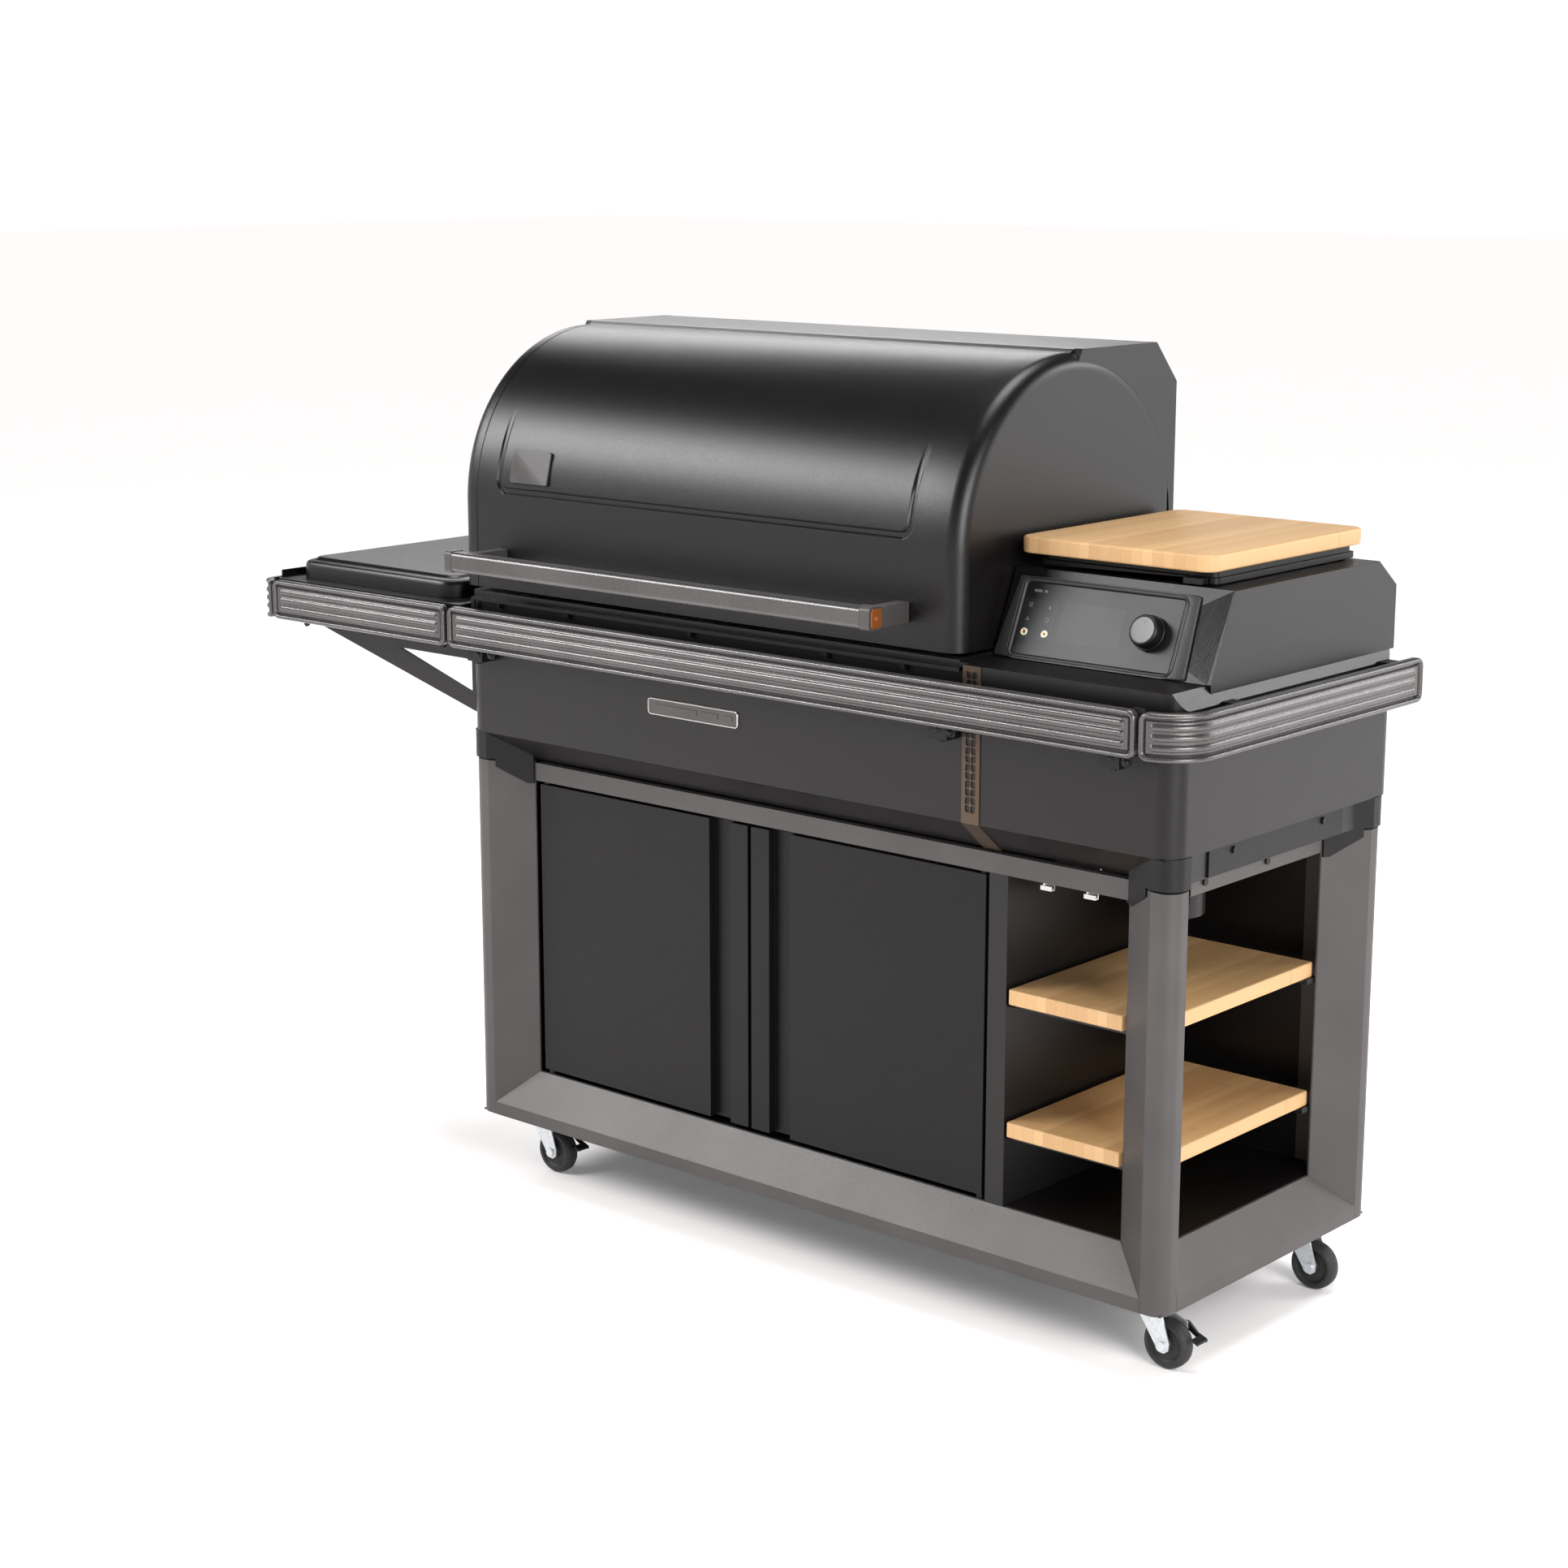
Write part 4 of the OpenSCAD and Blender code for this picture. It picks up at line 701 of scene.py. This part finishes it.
def make_rail(name, node, path, length, bottom, height, replaced=True):
    """Presses the relief into a strip that follows path(u), which gives a point and its outward normal."""
    corner = RAIL_CORNER
    end = 0.030
    along = stations(0.0, length, 0.012, ((0.0, end, 0.0011), (length - end, length, 0.0011)))
    up = stations(0.0, height, 0.0011)
    vertices, outline = [], []
    for u in along:
        (x, y), (nx, ny) = path(u)
        for v in up:
            # Points outside the rounded corners are drawn in to the corner's arc
            uu, vv = u, v
            ax = abs(u - length / 2) - (length / 2 - corner)
            ay = abs(v - height / 2) - (height / 2 - corner)
            if ax > 0 and ay > 0 and math.hypot(ax, ay) > corner:
                pull = corner / math.hypot(ax, ay)
                uu = length / 2 + math.copysign(length / 2 - corner + ax * pull, u - length / 2)
                vv = height / 2 + math.copysign(height / 2 - corner + ay * pull, v - height / 2)
                (x1, y1), (nx1, ny1) = path(uu)
            else:
                (x1, y1), (nx1, ny1) = (x, y), (nx, ny)
            depth = rail_relief(uu, vv, length, height, corner)
            vertices.append((x1 - nx1 * depth, y1 - ny1 * depth, bottom + vv))
            outline.append((x1 - nx1 * RAIL_THICKNESS, y1 - ny1 * RAIL_THICKNESS, bottom + vv))
    rows, columns = len(along), len(up)
    shape = bmesh.new()
    front = [shape.verts.new(v) for v in vertices]
    for face in strip_faces(rows, columns):
        shape.faces.new([front[i] for i in face])
    # Rim and a plain back, with one column of quads between the two long edges
    border = [i * columns for i in range(rows)]
    border += [(rows - 1) * columns + j for j in range(1, columns)]
    border += [i * columns + columns - 1 for i in range(rows - 2, -1, -1)]
    border += [j for j in range(columns - 2, 0, -1)]
    back = {i: shape.verts.new(outline[i]) for i in border}
    for k, i in enumerate(border):
        j = border[(k + 1) % len(border)]
        shape.faces.new((front[j], front[i], back[i], back[j]))
    for i in range(1, rows - 2):
        a, b = i * columns, (i + 1) * columns
        shape.faces.new((back[a], back[b], back[b + columns - 1], back[a + columns - 1]))
    shape.faces.new([back[j] for j in range(columns)] + [back[columns + columns - 1], back[columns]])
    last = (rows - 1) * columns
    shape.faces.new([back[last + j] for j in range(columns)] + [back[last - 1], back[last - columns]])
    bmesh.ops.remove_doubles(shape, verts=shape.verts, dist=2e-5)
    bmesh.ops.recalc_face_normals(shape, faces=shape.faces)
    add_shape(name, shape, "rail_coat", "frame", (node,) if replaced else (), 50.0)


def straight_path(start, y):
    """A path along X at one depth."""
    return lambda u: ((start + u, y), (0.0, -1.0))


def wrapped_path(start, end_x, front_y, radius, side):
    """A path along the front, round a corner and along an end. side is 1 at the right, -1 at the left."""
    flat = abs(end_x - start) - radius
    quarter = radius * math.pi / 2

    def path(u):
        if u < flat:
            return (start + side * u, front_y), (0.0, -1.0)
        if u < flat + quarter:
            turn = (u - flat) / radius
            x = end_x - side * radius + side * radius * math.sin(turn)
            return (x, front_y + radius - radius * math.cos(turn)), (side * math.sin(turn), -math.cos(turn))
        return (end_x, front_y + radius + u - flat - quarter), (side * 1.0, 0.0)

    return path


def wrapped_length(run, depth, radius):
    """Length of a path that runs along X and then Y, with a round corner between."""
    return (run - radius) + radius * math.pi / 2 + (depth - radius)


def make_rails():
    """The rail along the front, and the one round the hopper's corner."""
    low, high = box_of("front_rail")
    height = high.z - low.z
    make_rail("front_rail_face", "front_rail", straight_path(low.x, low.y), high.x - low.x, low.z, height)
    low, high = box_of("right_rail")
    radius = 0.066
    length = wrapped_length(high.x - low.x, high.y - low.y, radius)
    make_rail("right_rail_face", "right_rail", wrapped_path(low.x, high.x, low.y, radius, 1), length,
              low.z, height)
    make_left_rails(height)


def make_left_rails(height):
    """The side shelf has a straight rail along its front and another round its end."""
    low, high = box_of("shelf_rails")
    gap_x = -0.857
    make_rail("shelf_front_rail_face", "shelf_rails", straight_path(gap_x, low.y), high.x - gap_x,
              low.z, height)
    radius = 0.028
    start = gap_x - 0.0035
    length = wrapped_length(start - low.x, high.y - low.y, radius)
    make_rail("shelf_end_rail_face", "shelf_rails", wrapped_path(start, low.x, low.y, radius, -1), length,
              low.z, height, replaced=False)


# ---------- control panel ----------

PANEL_TILT = math.radians(66.8)
PANEL_FOOT_Z = 0.925
GLASS = ((0.527, 0.006), (0.778, 0.106))
GLASS_TOP = 0.0022
# The display's window and the touch areas beside it
WINDOWS = (((0.5935, 0.0285), (0.6935, 0.0830)), ((0.5290, 0.0285), (0.5850, 0.0830)))
JACK_XS = (0.5408, 0.5739)
JACK_S = 0.0368
KNOB_AT = (0.737, 0.0555)
PANEL_AXIS = (0.0, -math.sin(PANEL_TILT), math.cos(PANEL_TILT))


def on_panel(x, s, h):
    """x along the grill, s up the sloping face from its foot, h above the face."""
    foot_y = box_of("hopper_housing")[0].y
    return (x, foot_y + s * math.cos(PANEL_TILT) - h * math.sin(PANEL_TILT),
            PANEL_FOOT_Z + s * math.sin(PANEL_TILT) + h * math.cos(PANEL_TILT))


def make_bezel():
    """A pebbled frame whose inner edge rolls up round the glass."""
    outer = ((0.501, 0.001), (0.803, 0.001), (0.797, 0.113), (0.513, 0.113))
    inner = rectangle(*GLASS)
    shape = bmesh.new()
    loops = []
    for corners, radius, inset, height in (
            (outer, 0.004, 0.0, 0.0001), (outer, 0.004, 0.0, 0.0030), (outer, 0.004, 0.0010, 0.0040),
            (inner, 0.009, -0.0066, 0.0040), (inner, 0.009, -0.0058, 0.0030), (inner, 0.009, -0.0050, 0.0030),
            (inner, 0.008, -0.0042, 0.0046), (inner, 0.007, -0.0028, 0.0052), (inner, 0.006, -0.0014, 0.0046),
            (inner, 0.005, -0.0004, 0.0034), (inner, 0.005, 0.0, 0.0001)):
        loops.append([on_panel(a, b, height) for a, b in rounded_polygon(corners, radius, inset)])
    loft(shape, loops, ring=True)
    finish("panel_bezel", shape, "black_plastic", "frame", ("control_panel",), 50.0, "panel_coat")


def make_glass():
    """The glass, two lighter windows under it, and plain marks over the touch areas."""
    shape = bmesh.new()
    profile = ((0.0004, 0.0002), (0.0004, GLASS_TOP - 0.0004), (0.0009, GLASS_TOP))
    plate(shape, rectangle(*GLASS), 0.005, profile, on_panel)
    finish("panel_glass", shape, "gloss_black", "frame", (), 40.0)
    shape = bmesh.new()
    top = GLASS_TOP + 0.0001
    for window in WINDOWS:
        plate(shape, rectangle(*window), 0.0015, ((0.0, GLASS_TOP - 0.0002), (0.0, top)), on_panel)
    finish("panel_display", shape, "gloss_black", "frame", (), 40.0, "display")
    shape = bmesh.new()
    foot, face = top - 0.0001, top + 0.0001

    def mark(corners, radius):
        plate(shape, corners, radius, ((0.0, foot), (0.0, face)), on_panel, 3)

    # Three bars, a drop, a tray and a ring
    for k in range(3):
        mark(rectangle((0.5375, 0.0715 + 0.0024 * k), (0.5440, 0.0727 + 0.0024 * k)), 0.0005)
    mark(((0.5700, 0.0715), (0.5720, 0.0705), (0.5740, 0.0715), (0.5720, 0.0780)), 0.0008)
    mark(rectangle((0.5370, 0.0530), (0.5445, 0.0542)), 0.0005)
    mark(((0.5385, 0.0548), (0.5430, 0.0548), (0.5408, 0.0585)), 0.0004)
    turns = [math.pi * k / 12 for k in range(24)]
    rings = ((0.0034, foot), (0.0034, face), (0.0024, face), (0.0024, foot))
    loft(shape, [[on_panel(0.5720 + radius * math.cos(t), 0.0560 + radius * math.sin(t), height)
                  for t in turns] for radius, height in rings], ring=True)
    # Two short bars above the touch areas
    mark(rectangle((0.5405, 0.0925), (0.5530, 0.0960)), 0.0012)
    mark(rectangle((0.5570, 0.0925), (0.5620, 0.0960)), 0.0012)
    finish("panel_marks", shape, "gloss_black", "frame", (), 40.0, "faint_mark")


def make_jacks():
    """Two probe sockets: a pale ring round a brass bush."""
    ring = ((0.0052, 0.0010), (0.0052, 0.0034), (0.0047, 0.0040), (0.0036, 0.0040), (0.0031, 0.0034),
            (0.0031, 0.0010))
    bush = ((0.0030, 0.0008), (0.0030, 0.0030), (0.0022, 0.0030), (0.00178, 0.0026), (0.00178, -0.0080),
            (0.0030, -0.0080))
    rings, bushes = bmesh.new(), bmesh.new()
    for x in JACK_XS:
        centre = on_panel(x, JACK_S, 0.0)
        lathe(rings, ring, centre, PANEL_AXIS, 32)
        lathe(bushes, bush, centre, PANEL_AXIS, 32)
    finish("socket_rings", rings, "stainless", "frame", (), 40.0, "ivory")
    finish("socket_bushes", bushes, "stainless", "frame", (), 40.0, "brass")


def make_knob():
    """A dished face with a thin rim, a grip that tapers, and a wider foot ring."""
    low, high = box_of("control_knob")
    radius = (high.x - low.x) / 2
    centre = on_panel(KNOB_AT[0], KNOB_AT[1], 0.0)
    shape = bmesh.new()
    lathe(shape, ((0.0042, 0.0052), (radius - 0.0006, 0.0052), (radius, 0.0058), (radius, 0.0088),
                  (radius - 0.0008, 0.0096), (radius - 0.0030, 0.0098), (radius - 0.0032, 0.0108),
                  (radius - 0.0020, 0.0116), (radius - 0.0026, 0.0200), (radius - 0.0034, 0.0222),
                  (radius - 0.0050, 0.0236), (radius - 0.0064, 0.0238), (radius - 0.0072, 0.0232),
                  (0.0042, 0.0190), (0.0042, 0.0120)), centre, PANEL_AXIS, 72)
    finish("knob_grip", shape, "black_plastic", "control_knob", ("control_knob",), 30.0)
    shape = bmesh.new()
    lathe(shape, ((0.00001, 0.0232), (0.0100, 0.0232), (radius - 0.0070, 0.02345), (radius - 0.0070, 0.0215),
                  (0.00001, 0.0215)), centre, PANEL_AXIS, 72, ring=False)
    finish("knob_face", shape, "black_plastic", "control_knob", (), 30.0, "knob_face")
    shape = bmesh.new()
    bar = rectangle((KNOB_AT[0] - 0.0007, KNOB_AT[1] + 0.0085), (KNOB_AT[0] + 0.0007, KNOB_AT[1] + 0.0135))
    plate(shape, bar, 0.0005, ((0.0, 0.0232), (0.0, 0.0237)), on_panel, 3)
    finish("knob_mark", shape, "black_plastic", "control_knob", (), 40.0, "faint_mark")


# ---------- trim, badges and covers ----------

def flat_plate(name, loops, thickness):
    """A mesh in the XY plane, filled between an outline and the holes in it."""
    curve = bpy.data.curves.new(name, "CURVE")
    curve.dimensions = "2D"
    curve.fill_mode = "BOTH"
    curve.extrude = thickness / 2
    for loop in loops:
        spline = curve.splines.new("POLY")
        spline.points.add(len(loop) - 1)
        for point, (x, y) in zip(spline.points, loop):
            point.co = (x, y, 0.0, 1.0)
        spline.use_cyclic_u = True
    stand_in = bpy.data.objects.new(name, curve)
    bpy.context.scene.collection.objects.link(stand_in)
    mesh = bpy.data.meshes.new_from_object(stand_in.evaluated_get(bpy.context.evaluated_depsgraph_get()))
    shape = bmesh.new()
    shape.from_mesh(mesh)
    bpy.data.objects.remove(stand_in)
    bpy.data.curves.remove(curve)
    bpy.data.meshes.remove(mesh)
    return shape


def leaf(x, z, width, height, mirrored):
    """A petal: two opposite corners sharp, the other two round."""
    bend = 0.82
    points = []
    for quarter, round_corner in enumerate((True, False, True, False)):
        cx, cz = ((1, 1), (-1, 1), (-1, -1), (1, -1))[quarter]
        if not round_corner:
            points.append((cx * width / 2, cz * height / 2))
            continue
        for step in range(7):
            turn = math.radians(90 * quarter + 15 * step)
            points.append((cx * width / 2 * (1 - bend) + width / 2 * bend * math.cos(turn),
                           cz * height / 2 * (1 - bend) + height / 2 * bend * math.sin(turn)))
    if mirrored:
        points = [(-a, b) for a, b in reversed(points)]
    return [(x + a, z + b) for a, b in points]


def make_vent_strip():
    """The bronze strip: petals in two columns, a plain foot, and a fold under the chamfer."""
    low, high = box_of("vent_strip")
    middle = (low.x + high.x) / 2
    thickness = 0.0015
    fold_z = 0.713
    loops = [rounded_polygon(rectangle((low.x, fold_z), (high.x, high.z)), 0.0004)]
    pitch = 0.0112
    for row in range(17):
        z = high.z - 0.0125 - row * pitch
        for column in (-1, 1):
            loops.append(leaf(middle + column * 0.0046, z, 0.0080, 0.0098, (row + (column > 0)) % 2 == 1))
    shape = flat_plate("strip", loops, thickness)
    for vertex in shape.verts:
        x, z, out = vertex.co
        vertex.co = (x, low.y + thickness / 2 + out, z)
    foot = [(low.y, fold_z + 0.0002), (low.y + thickness, fold_z + 0.0002)]
    foot += [(high.y, low.z + 0.0016), (high.y - 0.001, low.z)]
    loft(shape, [[(x, y, z) for y, z in foot] for x in (low.x, high.x)])
    bmesh.ops.recalc_face_normals(shape, faces=shape.faces)
    add_shape("vent_strip_pierced", shape, "bronze_coat", "frame", ("vent_strip",), 30.0)
    # A black sheet just behind the petals: painted shade in place of the dark inside of the vent
    shape = bmesh.new()
    inset = 0.002
    loft(shape, [[(x, y, z) for y, z in ((low.y + 0.0016, fold_z + inset), (low.y + 0.0019, fold_z + inset),
                                          (low.y + 0.0019, high.z - inset), (low.y + 0.0016, high.z - inset))]
                 for x in (low.x + inset, high.x - inset)])
    finish("vent_shade_sheet", shape, "black_plastic", "frame")


def make_badges():
    """Plain plates: a dark one with a bright rim on the body, and a grey one on the lid."""
    low, high = box_of("front_badge")
    depth = high.y - low.y
    corners = rectangle((low.x, low.z), (high.x, high.z))

    def on_front(x, z, height):
        return (x, high.y - height, z)

    shape = bmesh.new()
    loft(shape, [[on_front(a, b, height) for a, b in rounded_polygon(corners, 0.006, inset)]
                 for inset, height in ((0.0, 0.0), (0.0, depth - 0.0008), (0.0006, depth), (0.0018, depth),
                                       (0.0023, depth - 0.0010), (0.0023, 0.0))], ring=True)
    finish("front_badge_rim", shape, "stainless", "frame", ("front_badge",), 40.0)
    shape = bmesh.new()
    profile = ((0.0021, 0.0), (0.0021, depth - 0.0012), (0.0026, depth - 0.0010))
    plate(shape, corners, 0.006, profile, on_front)
    # Plain raised bars in place of a name
    bar_low, bar_high = low.z + 0.0085, high.z - 0.0085
    for share_low, share_high in ((0.08, 0.55), (0.59, 0.78), (0.86, 0.94)):
        x0, x1 = low.x + (high.x - low.x) * share_low, low.x + (high.x - low.x) * share_high
        plate(shape, rectangle((x0, bar_low), (x1, bar_high)), 0.0022,
              ((0.0, depth - 0.0012), (0.0, depth - 0.0004), (0.0004, depth)), on_front)
    finish("front_badge_plate", shape, "stainless", "frame", (), 40.0, "badge_coat")
    shape = bmesh.new()
    shape.from_mesh(frame["nodes"]["lid_badge"].data)
    bmesh.ops.remove_doubles(shape, verts=shape.verts, dist=1e-5)
    finish("lid_badge_plate", shape, "rail_coat", "lid", ("lid_badge",), 30.0, "badge_coat")


def make_cover():
    """The hob's cover: a straight skirt, a soft shoulder and a flat top, hollow below."""
    low, high = box_of("cooktop_cover")
    skirt_top = low.z + 0.0175
    profile = ((0.0060, skirt_top - 0.001), (0.0060, low.z), (0.0, low.z), (0.0, skirt_top),
               (0.0006, skirt_top + 0.0040), (0.0025, skirt_top + 0.0072), (0.0060, skirt_top + 0.0090),
               (0.0110, skirt_top + 0.0098),
               (0.0150, skirt_top + 0.0104), (0.0180, skirt_top + 0.0120), (0.0200, high.z - 0.0012),
               (0.0230, high.z - 0.0002), (0.0260, high.z))
    shape = bmesh.new()
    plate(shape, rectangle((low.x, low.y), (high.x, high.y)), 0.038, profile, lambda a, b, h: (a, b, h), 9)
    finish("cover_skin", shape, "charcoal_coat", "cooktop_cover", ("cooktop_cover",), 32.0)


def make_wheels():
    """Moulded wheels: a round tread, a dished web and a hub, drawn at one size and fitted to each wheel."""
    drawn_diameter, drawn_width = 0.070, 0.024
    half = ((0.0044, 0.0120), (0.0090, 0.0120), (0.0105, 0.0112), (0.0115, 0.0085), (0.0215, 0.0078),
            (0.0240, 0.0095), (0.0255, 0.0115), (0.0290, 0.0118), (0.0322, 0.0100), (0.0343, 0.0066),
            (0.0350, 0.0))
    for corner in ("fl", "fr", "rl", "rr"):
        node = "wheel_" + corner
        low, high = box_of(node)
        scale = (high.z - low.z) / drawn_diameter
        wide = (high.y - low.y) / drawn_width
        profile = [(r * scale, y * wide) for r, y in half]
        profile += [(r * scale, -y * wide) for r, y in reversed(half[:-1])]
        shape = bmesh.new()
        lathe(shape, profile, (low + high) / 2, (0, 1, 0), 64)
        finish(node + "_moulded", shape, "black_rubber", node, (node,), 30.0)


def make_rail_tabs():
    """Small plates with a round foot and a domed bolt, under and between the rails."""
    low, high = box_of("front_rail")
    back = low.y + 0.0135
    tabs = ((-0.388, 0.013), (-0.362, 0.011), (0.492, 0.011), (0.512, 0.013), (0.768, 0.011), (0.792, 0.014))
    sheet = ((0.0, -0.002), (0.0, 0.0), (0.0005, 0.0005))
    bolt = ((0.00001, 0.0042), (0.0022, 0.0040), (0.0040, 0.0028), (0.0048, 0.0010), (0.0048, -0.001),
            (0.00001, -0.001))
    shape, bolts = bmesh.new(), bmesh.new()

    def on_tab(x, z, height):
        return (x, back - height, z)

    for x, foot in tabs:
        corners = rectangle((x - 0.0085, low.z - foot), (x + 0.0085, low.z + 0.004))
        plate(shape, corners, 0.005, sheet, on_tab)
        lathe(bolts, bolt, on_tab(x, low.z - foot + 0.0065, 0.0), (0, -1, 0), 24, ring=False)
    # Plate that bridges the two rails at the corner
    corners = rectangle((high.x - 0.012, low.z - 0.016), (high.x + 0.0065, high.z + 0.002))
    plate(shape, corners, 0.003, sheet, on_tab)
    finish("rail_tabs", shape, "black_plastic", "frame", (), 40.0)
    finish("rail_tab_bolts", bolts, "black_plastic", "frame", (), 50.0)


# ---------- the rest of the outside ----------

# Nodes shown just as the CAD has them
PLAIN_NODES = ("knob_shaft", "auger", "auger_drive", "fan_rotor", "fan_housing", "drip_tray",
               "cooking_grates", "fire_pot", "hopper_bin", "tool_hooks", "frame_bolts", "door_hinge_pins",
               "power_inlet", "power_switch")
# Nodes that pieces made above replace
SPECIAL_NODES = ("lid_shell", "front_rail", "right_rail", "shelf_rails", "control_panel", "control_knob",
                 "vent_strip", "front_badge", "lid_badge", "cooktop_cover", "wheel_fl", "wheel_fr",
                 "wheel_rl", "wheel_rr")
# Width of the rounding along the edges of the others, in millimetres
EDGE_WIDTHS = {"cart_posts": 1.6, "base_rails": 1.4, "top_rails": 1.2, "cabinet_shell": 1.0,
               "bay_shelves": 2.0, "cutting_board": 3.0, "corner_caps": 1.5, "door_left": 1.2,
               "door_right": 1.2, "barrel_body": 1.5, "hopper_body": 1.5, "hopper_housing": 1.6,
               "handle_bar": 1.0, "hopper_lid": 1.5, "grease_keg": 1.2, "side_shelf": 1.5}
USUAL_EDGE_WIDTH = 0.8


def housing_edges():
    """The hopper housing's right side meets its front, top and back in wide soft bends, outside and inside.
    Gives soften's (test, width, segments) for each of them."""
    low, high = box_of("hopper_housing")
    outer, inner = high.x - 0.0005, high.x - 0.0045
    front = low.y + 0.055
    rear = high.y - 0.060

    def along(x, test):
        return lambda a, b: (min(a.x, b.x) > x - 0.0002 and max(a.x, b.x) < x + 0.0012
                             and min(a.z, b.z) > low.z + 0.005 and test((a + b) / 2, a, b))

    def is_front(middle, a, b):
        return middle.y < front and abs(a.z - b.z) > 0.05

    def is_top(middle, a, b):
        return abs(a.z - b.z) < 0.0001 and middle.z > 1.02 and abs(a.y - b.y) > 0.1

    def is_rear(middle, a, b):
        return middle.y > rear and abs(a.z - b.z) > 0.01

    return ((along(outer, is_front), 0.020, 6), (along(inner, is_front), 0.016, 4),
            (along(outer, is_top), 0.009, 4), (along(inner, is_top), 0.006, 3),
            (along(outer, is_rear), 0.007, 3), (along(inner, is_rear), 0.004, 2))


def make_skins():
    """Every CAD node whose shape is right: rounded edges where they show, and its own finish."""
    for node in frame["nodes"]:
        if node in SPECIAL_NODES:
            continue
        if node in PLAIN_NODES:
            mesh = frame["nodes"][node].data
            mesh.materials.clear()
            mesh.materials.append(MATERIALS[SLOT_OF[node]])
        else:
            wide = housing_edges() if node == "hopper_housing" else ()
            soften(node, EDGE_WIDTHS.get(node, USUAL_EDGE_WIDTH) * MM, wide)


set_camera()
set_world()
set_floor()
set_lights()
make_lid()
make_lid_box()
make_rails()
make_bezel()
make_glass()
make_jacks()
make_knob()
make_vent_strip()
make_badges()
make_cover()
make_wheels()
make_rail_tabs()
make_skins()
